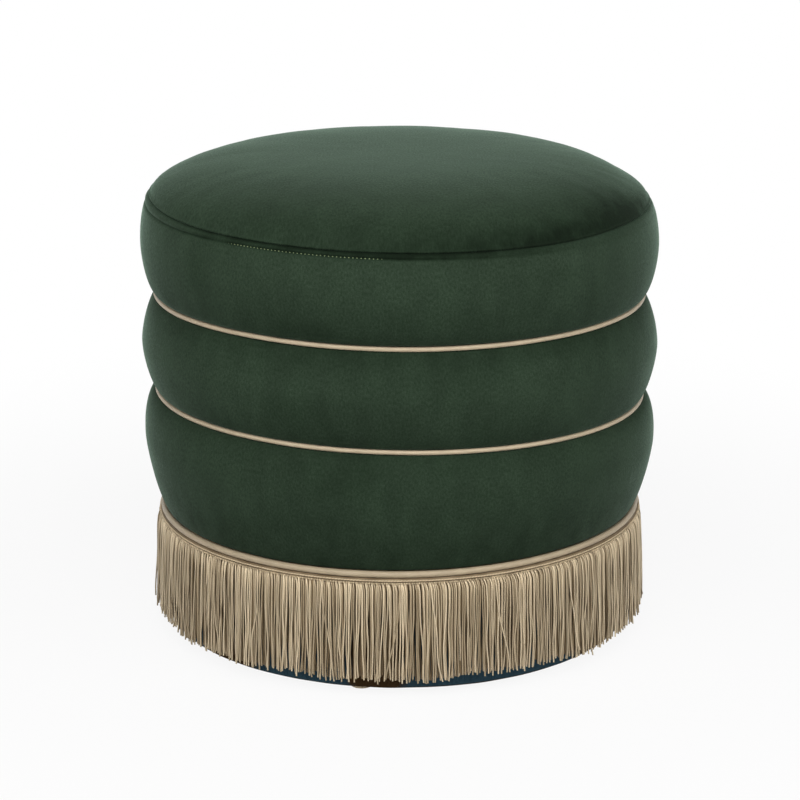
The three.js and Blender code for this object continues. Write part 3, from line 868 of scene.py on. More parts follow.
def seat_band():
    """The seat's side, with the padded lip and the topstitched groove under its seam."""
    middle = (SEAT_BOTTOM[1] + SEAM_HEIGHT) / 2
    half = (SEAM_HEIGHT - SEAT_BOTTOM[1]) / 2
    first_fine = SEAM_HEIGHT - TOPSTITCH_DROP - TOPSTITCH_WANDER - 2.4
    fine = (np.arange(first_fine, SEAM_HEIGHT - 1.6, 0.8) - middle) / half
    shares = crowded_shares(36)
    shares = np.concatenate([shares[shares < fine[0] - 0.01], fine])
    side = bulge(SEAT_BOTTOM, SEAT_SEAM, SEAT_CREST, SEAT_ROUNDNESS, shares)
    outer = np.concatenate([side, LIP_ROWS])
    profile, turns, goal = padded_ring("seat_band", outer, 31, SEAT_INNER_RADIUS)
    press_topstitching(goal)
    sew_join(goal, len(side), 1.2)
    cover = goal.reshape(-1, 3)
    heights = cover[:, 2]
    # brushed: random nap marks, and painted shade by height on the side
    brushed = nap_marks(cover, 35) + tier_painted_shade(heights, SEAT_BOTTOM[1], SEAM_HEIGHT)
    stitched = stitched_height(np.arctan2(cover[:, 1], cover[:, 0]))
    # Painted shade on the lip under the top's edge, in the stitched groove and in the crease at the
    # seam
    lip_shade, groove_shade, crease_shade = seam_painted_shades(cover)
    lip = np.clip((heights - stitched) / 1.2, 0, 1)
    groove = np.exp(-(((heights - stitched) / 1.0) ** 2))
    crease = heights > SEAM_HEIGHT - 0.6
    brushed -= lip * lip_shade + groove * groove_shade + crease * crease_shade
    mesh = ring_piece_mesh("seat_band", profile, turns, goal, brushed)
    band = velvet_piece("seat_band", mesh, "seat_band_cover", "seat_foam")


def stitched_height(turns):
    """Height of the topstitched row, which wanders a little below its highest place."""
    wander = (1 - np.cos(2 * (turns - HIGH_TURN))) / 2
    return SEAM_HEIGHT - TOPSTITCH_DROP - TOPSTITCH_WANDER * wander


def press_topstitching(goal):
    """Presses in the stitched row and puffs the lip above it, less where the row is shallow."""
    turns = np.arctan2(goal[..., 1], goal[..., 0])
    stitched = stitched_height(turns)
    depth = 1 - 0.85 * np.interp(np.cos(turns - SHALLOW_TURN), SHALLOW_SHARES, (0.0, 1.0))
    height = goal[..., 2]
    outside = np.hypot(goal[..., 0], goal[..., 1]) > SEAM_RADIUS - 1.0
    press = 1.1 * np.exp(-(((height - stitched) / 1.1) ** 2))
    puff = 0.7 * np.exp(-(((height - (stitched + SEAM_HEIGHT) / 2) / 1.7) ** 2))
    move = np.where(outside, (puff - press) * depth, 0.0)
    goal[..., 0] += move * np.cos(turns)
    goal[..., 1] += move * np.sin(turns)


def disc_grid(cells):
    """A square grid bent to a disc of radius 1: each square ring becomes a round one."""
    steps = np.arange(-cells, cells + 1)
    i, j = (a.astype(float) for a in np.meshgrid(steps, steps, indexing="ij"))
    ring = np.maximum(np.abs(i), np.abs(j))
    wide = np.abs(i) >= np.abs(j)
    with np.errstate(divide="ignore", invalid="ignore"):
        turn = np.where(wide, math.pi / 4 * j / i, math.pi / 2 - math.pi / 4 * i / j)
    turn = np.where(np.where(wide, i < 0, j < 0), turn + math.pi, turn)
    return ring / cells, np.nan_to_num(turn)


def disc_points(radius, turn, height):
    return np.stack([radius * np.cos(turn), radius * np.sin(turn), height], -1).reshape(-1, 3)


# Edge of the seat's top below its crown: it overhangs the seam, then tucks under
TOP_EDGE = np.array([
    [237.4, 418.1], [238.0, 417.1], [238.1, 416.4], [237.5, 415.8], [235.9, 415.3], [228.0, 415.3],
])


def seat_top():
    """The round top: a taut crown on a grid with no pole, whose edge overhangs the seam."""
    share, turn = disc_grid(CROWN_CELLS)
    side = 2 * CROWN_CELLS + 1
    radius = (1 - (1 - share) ** 1.3) * (SEAM_RADIUS - 0.2)
    rise = (1 - (radius / SEAM_RADIUS) ** CROWN_SPREAD) ** (1 / CROWN_ROUNDNESS)
    height = SEAM_HEIGHT + CLEARANCE + (CROWN_RISE - CLEARANCE) * rise
    crown = disc_points(radius, turn, height)
    under = disc_points(share * TOP_EDGE[-1, 0], turn, np.full_like(share, TOP_EDGE[-1, 1]))
    index = np.arange(side * side).reshape(side, side)
    quads = [index[:-1, :-1], index[1:, :-1], index[1:, 1:], index[:-1, 1:]]
    quads = np.stack(quads, -1).reshape(-1, 4)
    edge = np.flatnonzero(share.ravel() > 1 - 0.5 / CROWN_CELLS)
    edge = edge[np.argsort(np.arctan2(crown[edge, 1], crown[edge, 0]))]
    rings = ring_points(TOP_EDGE[:-1], np.arctan2(crown[edge, 1], crown[edge, 0])).reshape(-1, 3)
    first_under = len(crown) + len(rings)
    middle = len(crown) + np.arange(len(rings)).reshape(-1, len(edge))
    numbers = np.concatenate([edge[None], middle, first_under + edge[None]])
    upper, lower = numbers[:-1], numbers[1:]
    rim = np.stack([lower, np.roll(lower, -1, 1), np.roll(upper, -1, 1), upper], -1).reshape(-1, 4)
    points = np.concatenate([crown, rings, under])
    faces = np.concatenate([quads, rim, quads[:, ::-1] + first_under])
    points = crown_shape(points, faces, len(crown), share.ravel(), turn.ravel())
    # Painted shade in the crease under the top's edge, added to the top's painted marks
    crease = points[:, 2] < SEAM_HEIGHT + 0.5
    marks = top_marks(points) - crease * seam_painted_shades(points)[2]
    mesh = cloth_mesh("seat_top", points, faces, points[faces.ravel(), :2], marks)
    top = velvet_piece("seat_top", mesh, "seat_top_cover", "seat_wadding")


# Marks painted on the top: degrees from the front, distance out, half angle, half depth, strength.
# The dark one at the front is painted shade
TOP_MARKS = (
    (60.0, 225.0, 13.0, 16.0, -0.7),
    (44.0, 238.0, 32.0, 10.0, -0.95),
    (50.0, 205.0, 18.0, 22.0, -0.25),
    (76.0, 236.0, 9.0, 8.0, -0.5),
    (0.0, 238.0, 50.0, 24.0, -0.48),
    (20.0, 120.0, 43.0, 40.0, 0.05),
    (-60.0, 150.0, 23.0, 40.0, 0.08),
)


def top_marks(points):
    """Places on the top painted darker or lighter: painted shade along the front edge, darker
    places by the seam at the right, and two wide lighter places.
    """
    degrees = degrees_from_front(points)
    distance = np.hypot(points[:, 0], points[:, 1])
    marks = np.zeros(len(points))
    for angle, out, wide, deep, strength in TOP_MARKS:
        near = ((degrees - angle) / wide) ** 2 + ((distance - out) / deep) ** 2
        marks += strength * np.exp(-near)
    return marks


def crown_shape(points, faces, crown_count, share, turn):
    """The crown with its wadding's soft unevenness, swollen by a simulation."""
    window = 1 - share**6
    lumps = waves(turn, 71, (1, 2, 3), 0.8) + share * waves(turn, 72, (4, 6, 9, 13), 0.35)
    shaped = points.copy()
    shaped[:crown_count, 2] += window * share * lumps
    chance = np.random.default_rng(73)
    start = shaped.copy()
    start[:crown_count, 2] += window * (chance.normal(0, 0.1, crown_count) - 2.0)
    held = np.ones(len(points), bool)
    held[:crown_count] = share > 1 - 0.5 / CROWN_CELLS
    cut = points.copy()
    cut[:crown_count, :2] *= 0.99
    ended = swell("seat_top_trial", start, faces, held, cut)
    moved = ended[:crown_count, 2] - start[:crown_count, 2]
    rings = np.rint(share * CROWN_CELLS).astype(int)
    mean = np.bincount(rings, moved) / np.bincount(rings)
    shaped[:crown_count, 2] += 0.08 * np.clip(moved - mean[rings], -1.5, 1.5)
    return shaped


# Geometry Nodes: rows of small parts, cords and strands

WHOLE_NUMBERS = ("Strands", "Count", "Twists", "Seed")


def node_tree(name, inputs):
    """Starts a Geometry Nodes tree with these inputs and a material: its wiring, and the inputs."""
    tree = bpy.data.node_groups.new(name, "GeometryNodeTree")
    for label in inputs.split(", "):
        kind = "NodeSocketInt" if label in WHOLE_NUMBERS else "NodeSocketFloat"
        tree.interface.new_socket(label, in_out="INPUT", socket_type=kind)
    tree.interface.new_socket("Material", in_out="INPUT", socket_type="NodeSocketMaterial")
    tree.interface.new_socket("Geometry", in_out="OUTPUT", socket_type="NodeSocketGeometry")
    wiring = Wiring(tree)
    given = wiring.add("NodeGroupInput").outputs
    return wiring, {socket.name: Wire(wiring, socket) for socket in given}


def end_tree(wiring, geometry, material, smooth=True):
    whole = wiring.shape("RealizeInstances", {0: geometry})
    shaded = wiring.shape("SetShadeSmooth", {"Geometry": whole, "Shade Smooth": smooth})
    finished = wiring.shape("SetMaterial", {"Geometry": shaded, "Material": material})
    wiring.add("NodeGroupOutput", {0: finished})
    return wiring.tree


def grown(name, tree, values, material):
    """Runs a tree on an empty mesh with these values, and keeps the result as a plain mesh."""
    source = bpy.data.objects.new(name, bpy.data.meshes.new(name + "_seed"))
    SCENE.collection.objects.link(source)
    modifier = source.modifiers.new("grow", "NODES")
    modifier.node_group = tree
    for item in tree.interface.items_tree:
        if item.in_out == "INPUT":
            given = material if item.name == "Material" else values[item.name]
            modifier[item.identifier] = given
    graph = bpy.context.evaluated_depsgraph_get()
    mesh = bpy.data.meshes.new_from_object(
        source.evaluated_get(graph), preserve_all_data_layers=True, depsgraph=graph
    )
    source.modifiers.remove(modifier)
    seed = source.data
    bpy.data.objects.remove(source)
    bpy.data.meshes.remove(seed)
    return add_object(name, mesh, material)


def round_section(wiring, radius, sides):
    """A round profile that remembers which way each of its points faces."""
    circle = wiring.shape("CurvePrimitiveCircle", {"Resolution": sides, "Radius": radius})
    facing = wiring.vector("NORMALIZE", wiring.shape("InputPosition"))
    return wiring.remember(circle, "side", facing, "FLOAT_VECTOR")


def cord_tree():
    """A covered cord bent to a ring, with the flange behind it."""
    wiring, given = node_tree("covered_cord", "Ring, Height, Bead, Flange, Wander")
    inputs = {"Resolution": CORD_STEPS, "Radius": given["Ring"]}
    ring = wiring.shape("CurvePrimitiveCircle", inputs)
    drift = wiring.noise(wiring.shape("InputPosition"), 9.0, 1.0, output=1)
    inputs = {0: wiring.vector("SUBTRACT", drift, (0.5, 0.5, 0.5)), "Scale": given["Wander"]}
    drift = wiring.out("ShaderNodeVectorMath", inputs, operation="SCALE")
    lift = wiring.xyz(0.0, 0.0, given["Height"])
    offset = wiring.vector("ADD", drift, lift)
    ring = wiring.shape("SetPosition", {"Geometry": ring, "Offset": offset})
    step = given["Ring"] * (2 * math.pi / CORD_STEPS)
    ring = wiring.remember(ring, "run", wiring.shape("InputIndex") * step)
    bead = wiring.shape("CurveToMesh", {0: ring, 1: round_section(wiring, given["Bead"], 20)})
    half_flange = given["Flange"] * 0.5
    inputs = {"Vertices": 180, "Radius": given["Ring"] - half_flange, "Depth": 1.2 * MM}
    flange = wiring.shape("MeshCylinder", inputs, fill_type="NONE")
    flange = wiring.shape("Transform", {"Geometry": flange, "Translation": lift})
    inputs = {"Mesh": flange, "Offset Scale": half_flange, "Individual": False}
    flange = wiring.shape("ExtrudeMesh", inputs, mode="FACES")
    return end_tree(wiring, wiring.join(bead, flange), given["Material"])


def make_cords():
    tree = cord_tree()
    for name, cord, wander, cloth in (
        ("upper_cord", UPPER_CORD, 0.9, SATIN),
        ("middle_cord", MIDDLE_CORD, 0.9, SATIN),
        ("skirt_cord", SKIRT_CORD, 0.7, PAINTED_SHADE_SKIRT_SATIN),
    ):
        sizes = (size * MM for size in (*cord, wander))
        values = dict(zip(("Ring", "Height", "Bead", "Flange", "Wander"), sizes))
        finish_piece(grown(name + "_cloth", tree, values, cloth), "cord_cloth", name)


def strand_tree():
    """Hanging yarns: each sways, leans and gathers with its neighbours in clumps."""
    inputs = (
        "Strands, Ring, Top, Length, Yarn, Tuck, Slant, Curve, Flare, Dip, Lean, Sway, Pull, "
        "Clump, Uneven, Seed"
    )
    wiring, given = node_tree("hanging_yarns", inputs)
    line = wiring.shape("CurvePrimitiveLine")
    line = wiring.shape("ResampleCurve", {"Curve": line, "Count": STRAND_POINTS})
    spots = wiring.shape("Points", {"Count": given["Strands"]})
    hung = wiring.shape("InstanceOnPoints", {"Points": spots, "Instance": line})
    hung = wiring.shape("RealizeInstances", {0: hung})
    index = wiring.shape("InputIndex")
    number = wiring.calc("FLOOR", (index + 0.5) / float(STRAND_POINTS))
    down = (index - number * float(STRAND_POINTS)) / (STRAND_POINTS - 1.0)
    down = down**1.35

    def chance(low, high, step):
        return wiring.chance(number, low, high, given["Seed"] + float(step))

    # Its place round the ring, drawn towards the middle of its clump further down
    pitch = 2 * math.pi / given["Strands"]
    start = (number + chance(-0.35, 0.35, 1)) * pitch
    clump = wiring.calc("FLOOR", (number + chance(-1.2, 1.2, 2)) / given["Clump"])
    clump_seed = given["Seed"] + 40.0
    shift = wiring.chance(clump, -0.25, 0.25, clump_seed)
    centre = (clump + 0.5 + shift) * given["Clump"] * pitch
    strength = wiring.chance(clump, 0.1, 1.0, clump_seed + 1.0) * given["Pull"]
    gather = strength * wiring.ranged(down, 0.05, 0.9, 0.0, 1.0, True)
    turn = start + (centre - start) * gather
    # Its lean and sway to the side, and the slant of its tucked top
    leaning = chance(-1.0, 1.0, 3)
    leaning = leaning * (leaning * leaning) * given["Lean"] * down**1.4
    wave = wiring.sine(down * chance(5.0, 11.0, 4) + chance(0.0, 6.28, 5))
    sway = wave * given["Sway"] * down**0.7
    turn = turn + (leaning + sway) / given["Ring"]
    tucked = wiring.ranged(down, 0.0, 0.05, -1.0, 0.0, True) * given["Tuck"]
    bent = tucked * given["Slant"] * chance(0.4, 1.6, 13)
    turn = turn + bent / given["Ring"]
    # How far out it hangs
    flare = down ** given["Curve"] * given["Flare"]
    nod = wiring.sine(down * chance(4.0, 9.0, 6) + chance(0.0, 6.28, 7))
    nod = nod * given["Sway"] * (down * 1.2)
    hook = down**7.0 * chance(-0.0014, 0.0010, 8)
    depth = chance(-0.0015, 0.0012, 9) * wiring.ranged(down, 0.0, 0.2)
    radius = given["Ring"] + ((tucked + flare) + (nod + (hook + depth)))
    # How far down it reaches
    slow = wiring.sine(start * 7.0) + wiring.sine(start * 17.0 + 1.3)
    spread = chance(-1.0, 0.8, 10) + slow * 0.45
    length = given["Length"] + spread * given["Uneven"]
    fourfold = (1.0 - wiring.cosine(start * 4.0)) * 0.6
    dipped = fourfold + wiring.sine(start * 2.0)
    length = length + dipped * given["Dip"]
    place = wiring.polar(turn, radius, given["Top"] - down * length)
    hung = wiring.shape("SetPosition", {"Geometry": hung, "Position": place})
    thick = chance(0.82, 1.14, 11) * wiring.ranged(down, 0.9, 1.0, 1.0, 0.82)
    hung = wiring.shape("SetCurveRadius", {0: hung, "Radius": thick})
    hung = wiring.remember(hung, "run", down * length)
    hung = wiring.remember(hung, "strand", chance(0.0, 1.0, 12))
    section = round_section(wiring, given["Yarn"], 6)
    yarns = wiring.shape("CurveToMesh", {0: hung, 1: section, "Fill Caps": True})
    return end_tree(wiring, yarns, given["Material"])


def make_fringe():
    """An outer and an inner layer of yarns, and a few that stray over them."""
    tree = strand_tree()
    outer = {
        "Strands": 800, "Ring": 234.2 * MM, "Top": STRAND_TOP * MM, "Length": STRAND_LENGTH * MM,
        "Yarn": 0.70 * MM, "Tuck": 1.5 * MM, "Slant": 1.2, "Curve": 0.42, "Flare": 4.6 * MM,
        "Lean": 3.6 * MM, "Sway": 0.7 * MM, "Pull": 0.5, "Clump": 3.7, "Uneven": 2.8 * MM,
        "Dip": 1.2 * MM, "Seed": 11,
    }
    inner = {
        **outer, "Strands": 960, "Ring": 232.4 * MM, "Yarn": 0.80 * MM, "Clump": 3.1, "Seed": 211,
        "Length": 90.5 * MM, "Flare": 2.8 * MM, "Lean": 2.5 * MM, "Tuck": 0.4 * MM, "Pull": 0.26,
    }
    stray = {
        **outer, "Strands": 64, "Ring": 235.4 * MM, "Yarn": 0.68 * MM, "Clump": 1.0, "Seed": 402,
        "Lean": 14.0 * MM, "Sway": 1.7 * MM, "Pull": 0.0, "Uneven": 5.0 * MM,
    }
    finish_piece(grown("outer_strands", tree, outer, YARN), "fringe_yarn", "fringe_strands")
    # The inner layer wears the darker copy of the yarn, as painted shade
    finish_piece(grown("inner_strands", tree, inner, PAINTED_SHADE_YARN), "fringe_yarn")
    finish_piece(grown("stray_strands", tree, stray, YARN), "fringe_yarn")


def numbered_ring(wiring, given):
    """A ring of Count points, each point's number, and its angle."""
    ring = wiring.shape("MeshCircle", {"Vertices": given["Count"], "Radius": given["Ring"]})
    index = wiring.shape("InputIndex")
    return ring, index, index * (2 * math.pi) / given["Count"]


def row_tree():
    """Small rounded stitches set round a ring, each leaning the same way."""
    inputs = "Count, Ring, Height, Long, Wide, Thick, Lean, Jitter, Sink, Wander, Seed"
    wiring, given = node_tree("row_of_stitches", inputs)
    ring, index, turn = numbered_ring(wiring, given)
    shown = wiring.cosine(turn - THREAD_TURN)
    sunk = wiring.ranged(shown, *THREAD_SHARES, 1.0, 0.0) * given["Sink"]
    wander = wiring.cosine((turn - HIGH_TURN) * 2.0)
    low = wiring.ranged(wander, -1.0, 1.0, 1.0, 0.0) * given["Wander"]
    lift = wiring.polar(turn, low * TOPSTITCH_SLOPE - sunk, given["Height"] - low)
    ring = wiring.shape("SetPosition", {"Geometry": ring, "Offset": lift})
    swing = wiring.chance(index, -1.0, 1.0, given["Seed"])
    lean = given["Lean"] + swing * given["Jitter"]
    stitch = wiring.shape("MeshUVSphere", {"Segments": 6, "Rings": 5, "Radius": 0.5})
    ring = wiring.remember(ring, "strand", wiring.chance(index, 0.2, 1.0, given["Seed"]))
    inputs = {
        "Points": ring, "Instance": stitch,
        "Rotation": wiring.xyz(0.0, lean, turn + math.pi / 2),
        "Scale": wiring.xyz(given["Long"], given["Thick"], given["Wide"]),
    }
    return end_tree(wiring, wiring.shape("InstanceOnPoints", inputs), given["Material"])


def make_topstitching(tree):
    """Topstitching in the groove, its ring a little inside the seat's side at that height."""
    share = 1 - 2 * TOPSTITCH_DROP / (SEAM_HEIGHT - SEAT_BOTTOM[1])
    outline = bulge(SEAT_BOTTOM, SEAT_SEAM, SEAT_CREST, SEAT_ROUNDNESS, np.array([share]))
    ring = float(outline[0, 0]) - 1.0
    values = {
        "Count": round(2 * math.pi * ring / TOPSTITCH_PITCH), "Ring": ring * MM,
        "Height": (SEAM_HEIGHT - TOPSTITCH_DROP) * MM, "Long": 1.6 * MM, "Wide": 0.95 * MM,
        "Thick": 0.8 * MM, "Lean": 0.06, "Jitter": 0.1, "Sink": 0.7 * MM,
        "Wander": TOPSTITCH_WANDER * MM, "Seed": 5,
    }
    finish_piece(grown("seat_topstitching", tree, values, THREAD), "velvet")


def make_heading(tree):
    """The fringe's woven tape, the thin twisted cord on it and the row of loops under that."""
    corners = np.array([
        [HEADING_INNER, HEADING_BOTTOM], [HEADING_OUTER, HEADING_BOTTOM],
        [HEADING_OUTER, 109.0], [232.9, 109.6], [233.7, 110.8], [233.7, 113.4], [232.9, 114.5],
        [HEADING_OUTER, HEADING_TOP], [HEADING_INNER, HEADING_TOP],
    ])
    tape = ring_piece_mesh("fringe_tape", corners, even_columns(360))
    # Painted shadow: the tape is made dark, for the lines of shade between the skirt cord, the
    # twisted cord and the loops
    shade = tape.attributes.new("strand", "FLOAT", "POINT")
    shade.data.foreach_set("value", np.full(len(tape.vertices), -0.15, np.float32))
    finish_piece(add_object("fringe_tape", tape, BRAID), "fringe_yarn", "fringe_heading")
    loops = {
        "Count": 980, "Ring": 234.3 * MM, "Height": 110.4 * MM, "Long": 2.2 * MM,
        "Wide": 1.1 * MM, "Thick": 1.2 * MM, "Lean": 1.25, "Jitter": 0.2, "Sink": 0.0,
        "Wander": 0.0, "Seed": 8,
    }
    finish_piece(grown("fringe_loops", tree, loops, BRAID), "fringe_yarn")
    values = {"Ring": 234.6 * MM, "Height": 113.0 * MM, "Ply": 0.40 * MM, "Twists": 520}
    finish_piece(grown("twisted_cord", twisted_tree(), values, BRAID), "fringe_yarn")


def twisted_tree():
    """Two plies twisted round each other along a ring."""
    wiring, given = node_tree("twisted_plies", "Ring, Height, Ply, Twists")
    steps = given["Twists"] * 6.0
    ring = wiring.shape("CurvePrimitiveCircle", {"Resolution": steps, "Radius": given["Ring"]})
    turn = wiring.shape("InputIndex") * (2 * math.pi) / steps
    plies = []
    # One ply is painted darker than the other, as painted light and shade on the twist
    for start, shade in ((0.0, 0.45), (math.pi, 0.9)):
        phase = turn * given["Twists"] + start
        radius = given["Ring"] + wiring.cosine(phase) * given["Ply"]
        height = wiring.sine(phase) * given["Ply"] + given["Height"]
        place = wiring.polar(turn, radius, height)
        ply = wiring.shape("SetPosition", {"Geometry": ring, "Position": place})
        plies.append(wiring.remember(ply, "strand", shade))
    section = round_section(wiring, given["Ply"] * 1.08, 5)
    cord = wiring.shape("CurveToMesh", {0: wiring.join(*plies), 1: section})
    return end_tree(wiring, cord, given["Material"])


# Plinth and underside


def make_plinth():
    """Navy cloth round the foot of the drum, folded in under the base."""
    bottom = np.array([
        [DRUM_RADIUS - PLINTH_TURN_UNDER + CLEARANCE, PLINTH_BOTTOM + 0.1],
        [219.0, PLINTH_BOTTOM + 0.05], [221.9, PLINTH_BOTTOM], [222.9, PLINTH_BOTTOM + 0.25],
        [PLINTH_RADIUS, PLINTH_BOTTOM + 0.9],
    ])
    heights = np.concatenate([np.arange(6.5, 30.0, 1.5), np.arange(32.0, PLINTH_TOP, 4.0)])
    wall = np.stack([np.full_like(heights, PLINTH_RADIUS), heights], -1)
    inside = DRUM_RADIUS + 2 * CLEARANCE
    top = np.array([
        [PLINTH_RADIUS, PLINTH_TOP], [inside, PLINTH_TOP], [inside, 60.0], [inside, 6.0],
        [211.0, 5.4],
    ])
    profile = np.concatenate([bottom, wall, top])
    turns = even_columns(480)
    points = ring_points(profile, turns)
    outside = len(bottom) + len(wall)
    drag = waves(turns, 91, (9, 14, 23, 37), 0.22)
    droop = waves(turns, 92, (5, 8, 19, 31, 47), 0.28)
    lean = np.clip((60.0 - profile[:outside, 1]) / 60.0, 0, 1)[:, None]
    points[:outside, :, :2] *= 1 + (lean * drag)[..., None] / DRUM_RADIUS
    points[:outside, :, 2] += lean**3 * droop
    mesh = ring_piece_mesh("plinth_cloth", profile, turns, points)
    finish_piece(add_object("plinth_cloth", mesh, NAVY), "plinth_cloth", "plinth_cover")


def make_dust_cover():
    """Black cloth under the base, slack between its staples."""
    hem = [205.0, 209.0, 212.0, 214.5, 216.2, DUST_COVER_RADIUS]
    radii = np.concatenate([[0.15], np.linspace(2.0, 200.0, 34), hem])
    turns = even_columns(180)
    under = np.stack([radii, np.full_like(radii, DUST_COVER_BOTTOM)], -1)
    over = np.stack([radii[::-1], np.full_like(radii, DUST_COVER_TOP)], -1)
    profile = np.concatenate([under, over])
    points = ring_points(profile, turns)
    share = (radii / DUST_COVER_RADIUS)[:, None]
    folds = waves(turns, 95, (6, 11, 17, 29), 0.35) * share**2 * (1 - share**8)
    sag = -0.8 * (1 - share**2) + folds
    rows = len(radii)
    points[:rows, :, 2] += np.minimum(sag, 0.25)
    points[rows:, :, 2] += np.minimum(sag[::-1], 0.0)
    mesh = ring_piece_mesh("dust_cloth", profile, turns, points)
    finish_piece(add_object("dust_cloth", mesh, BLACK), "dust_cloth", "dust_cover")


def make_turned(name, profile, segments, material, slot, node):
    """One turned shape at each glide's place, from a closed anticlockwise profile."""
    turns = FIRST_GLIDE_TURN + np.arange(GLIDE_COUNT) * 2 * math.pi / GLIDE_COUNT
    one = ring_points(np.array(profile), even_columns(segments)).reshape(-1, 3)
    places = [[GLIDE_CIRCLE * math.cos(turn), GLIDE_CIRCLE * math.sin(turn), 0.0] for turn in turns]
    faces = ring_faces(len(profile), segments)
    mesh = bpy.data.meshes.new(name)
    points = np.concatenate([one + place for place in places])
    every = np.concatenate([faces + i * len(one) for i in range(GLIDE_COUNT)])
    mesh.from_pydata((points * MM).tolist(), [], every.tolist())
    mesh.shade_smooth()
    nodes = [f"{node}_{i + 1}" for i in range(GLIDE_COUNT)]
    finish_piece(add_object(name, mesh, material), slot, *nodes)


def make_glides():
    glide = [
        [3.5, 0.35], [4.0, 0.05], [5.0, 0.0], [9.2, 0.0], [10.1, 0.25], [10.75, 0.8],
        [GLIDE_RADIUS, 1.6], [GLIDE_RADIUS, GLIDE_HEIGHT], [1.6, GLIDE_HEIGHT], [1.6, 2.3],
        [3.4, 2.3],
    ]
    make_turned("floor_glides", glide, 40, NYLON, "nylon", "glide")
    nail = [
        [0.15, 0.78], [1.5, 0.8], [2.6, 1.0], [3.0, 1.4], [3.0, 1.9], [1.3, 1.95], [1.3, 16.0],
        [0.15, 16.9],
    ]
    make_turned("glide_nail_heads", nail, 20, STEEL, "steel", "glide_nail")


def staple_tree():
    """Staples round a ring, left out where a glide sits."""
    wiring, given = node_tree("row_of_staples", "Count, Ring, Height, Skip Turn, Seed")
    ring, index, turn = numbered_ring(wiring, given)
    near = wiring.cosine((turn - given["Skip Turn"]) * float(GLIDE_COUNT))
    blocked = wiring.calc("GREATER_THAN", near, 0.86)
    spin = turn + math.pi / 2 + wiring.chance(index, -0.22, 0.22, given["Seed"])
    lift = wiring.xyz(0.0, 0.0, given["Height"])
    ring = wiring.shape("SetPosition", {"Geometry": ring, "Offset": lift})
    size = (9.0 * MM, 1.1 * MM, 0.5 * MM)
    parts = [wiring.shape("MeshCube", {"Size": size, "Vertices X": 4})]
    for end in (-4.2, 4.2):
        leg = wiring.shape("MeshCube", {"Size": (0.6 * MM, 1.1 * MM, 5.0 * MM)})
        place = (end * MM, 0.0, 2.4 * MM)
        parts.append(wiring.shape("Transform", {"Geometry": leg, "Translation": place}))
    inputs = {
        "Points": ring, "Instance": wiring.join(*parts),
        "Rotation": wiring.xyz(0.0, 0.0, spin), "Selection": 1.0 - blocked,
    }
    return end_tree(wiring, wiring.shape("InstanceOnPoints", inputs), given["Material"], False)


def make_staples():
    values = {
        "Count": 66, "Ring": STAPLE_CIRCLE * MM, "Height": 3.2 * MM,
        "Skip Turn": FIRST_GLIDE_TURN, "Seed": 3,
    }
    finish_piece(grown("base_staples", staple_tree(), values, STEEL), "steel")


def finish_frame_nodes():
    """Gives each timber, panel and screw that is kept from CAD its own material."""
    finishes = {
        "base_panel": PLYWOOD, "seat_panel": PLYWOOD, "stiffening_hoop": PLYWOOD,
        "drum_wall": FIBREBOARD, "hem_batten": PINE, "post": PINE,
        "seat_screw": STEEL, "base_screw": STEEL,
    }
    for name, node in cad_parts.items():
        stem = name.rstrip("0123456789").rstrip("_")
        if stem in finishes and not node.hide_render:
            for holder in node.material_slots:
                holder.material = finishes[stem]


# Studio

WHITE = (1, 1, 1, 1)
FLOOR_HALF_SIDE = 14.0
TUFFET_MIDDLE = Vector((0.0, 0.0, 0.23))


def seen_rays(wiring):
    """1 for what the camera, gloss and glass see, and 0 for what lights the tuffet."""
    rays = wiring.add("ShaderNodeLightPath").outputs
    kinds = ("Is Camera Ray", "Is Glossy Ray", "Is Transmission Ray")
    camera, glossy, through = (Wire(wiring, rays[kind]) for kind in kinds)
    return wiring.calc("MAXIMUM", camera, wiring.calc("MAXIMUM", glossy, through))


def studio_world():
    world = bpy.data.worlds.new("studio")
    SCENE.world = world
    world.use_nodes = True
    world.node_tree.nodes.clear()
    wiring = Wiring(world.node_tree)
    soft = {"Color": (0.97, 0.98, 1.0, 1), "Strength": 0.07}
    soft = wiring.out("ShaderNodeBackground", soft)
    white = wiring.out("ShaderNodeBackground", {"Color": WHITE, "Strength": 1.0})
    mixed = wiring.out("ShaderNodeMixShader", {0: seen_rays(wiring), 1: soft, 2: white})
    wiring.add("ShaderNodeOutputWorld", {"Surface": mixed})


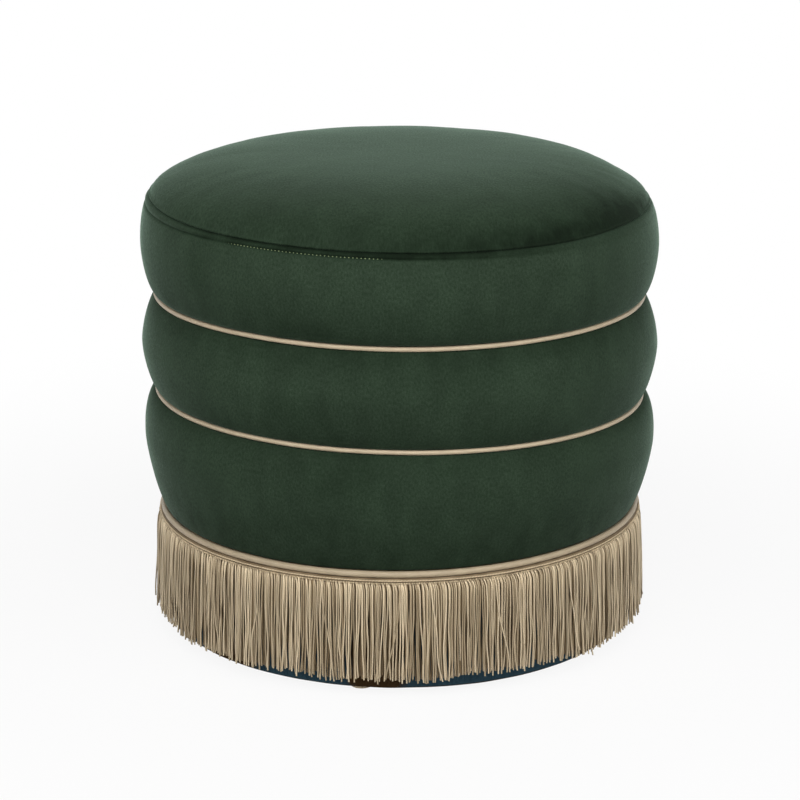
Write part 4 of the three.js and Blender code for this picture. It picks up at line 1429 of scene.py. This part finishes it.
def studio_floor():
    """A pale floor that runs to white, and keeps a faint shadow of the tuffet."""
    finish = Finish("studio_floor")
    grain = finish.noise(finish.place, 40.0)
    pale = finish.blend(grain, (0.86, 0.86, 0.86, 1), (0.88, 0.88, 0.88, 1))
    matt = finish.out("ShaderNodeBsdfDiffuse", {"Color": pale})
    white = finish.out("ShaderNodeEmission", {"Color": WHITE, "Strength": 1.0})
    away = finish.vector("LENGTH", finish.place, output="Value")
    share = finish.ranged(away, 0.3, 1.1, 0.9, 1.0, True) * seen_rays(finish)
    material = finish.end(finish.out("ShaderNodeMixShader", {0: share, 1: matt, 2: white}))
    side = FLOOR_HALF_SIDE
    corners = [(-side, -side, 0.0), (side, -side, 0.0), (side, side, 0.0), (-side, side, 0.0)]
    mesh = bpy.data.meshes.new("studio_floor")
    mesh.from_pydata(corners, [], [(0, 1, 2, 3)])
    floor = add_object("studio_floor", mesh, material)


def softbox(name, place, size, power):
    data = bpy.data.lights.new(name, "AREA")
    data.shape = "RECTANGLE"
    data.size, data.size_y = size
    data.energy = power
    lamp = bpy.data.objects.new(name, data)
    lamp.location = place
    lamp.rotation_euler = (TUFFET_MIDDLE - Vector(place)).to_track_quat("-Z", "Y").to_euler()
    SCENE.collection.objects.link(lamp)


def studio():
    SCENE.view_settings.view_transform = "Standard"
    studio_world()
    studio_floor()
    softbox("high_softbox", (0.0, -1.7, 2.4), (2.0, 1.2), 36.0)
    softbox("front_softbox", (0.0, -2.9, 1.3), (2.0, 1.4), 14.5)
    softbox("back_softbox", (0.0, 2.2, 2.0), (2.4, 1.6), 6.5)
    softbox("left_softbox", (-1.9, -1.5, 1.6), (1.4, 1.8), 20.0)
    softbox("right_softbox", (2.0, -1.3, 1.5), (1.4, 1.8), 22.0)


lower_roll()
middle_roll()
seat_band()
seat_top()
make_cords()
stitches = row_tree()
make_topstitching(stitches)
make_heading(stitches)
make_fringe()
make_plinth()
make_dust_cover()
make_glides()
make_staples()
finish_frame_nodes()
studio()
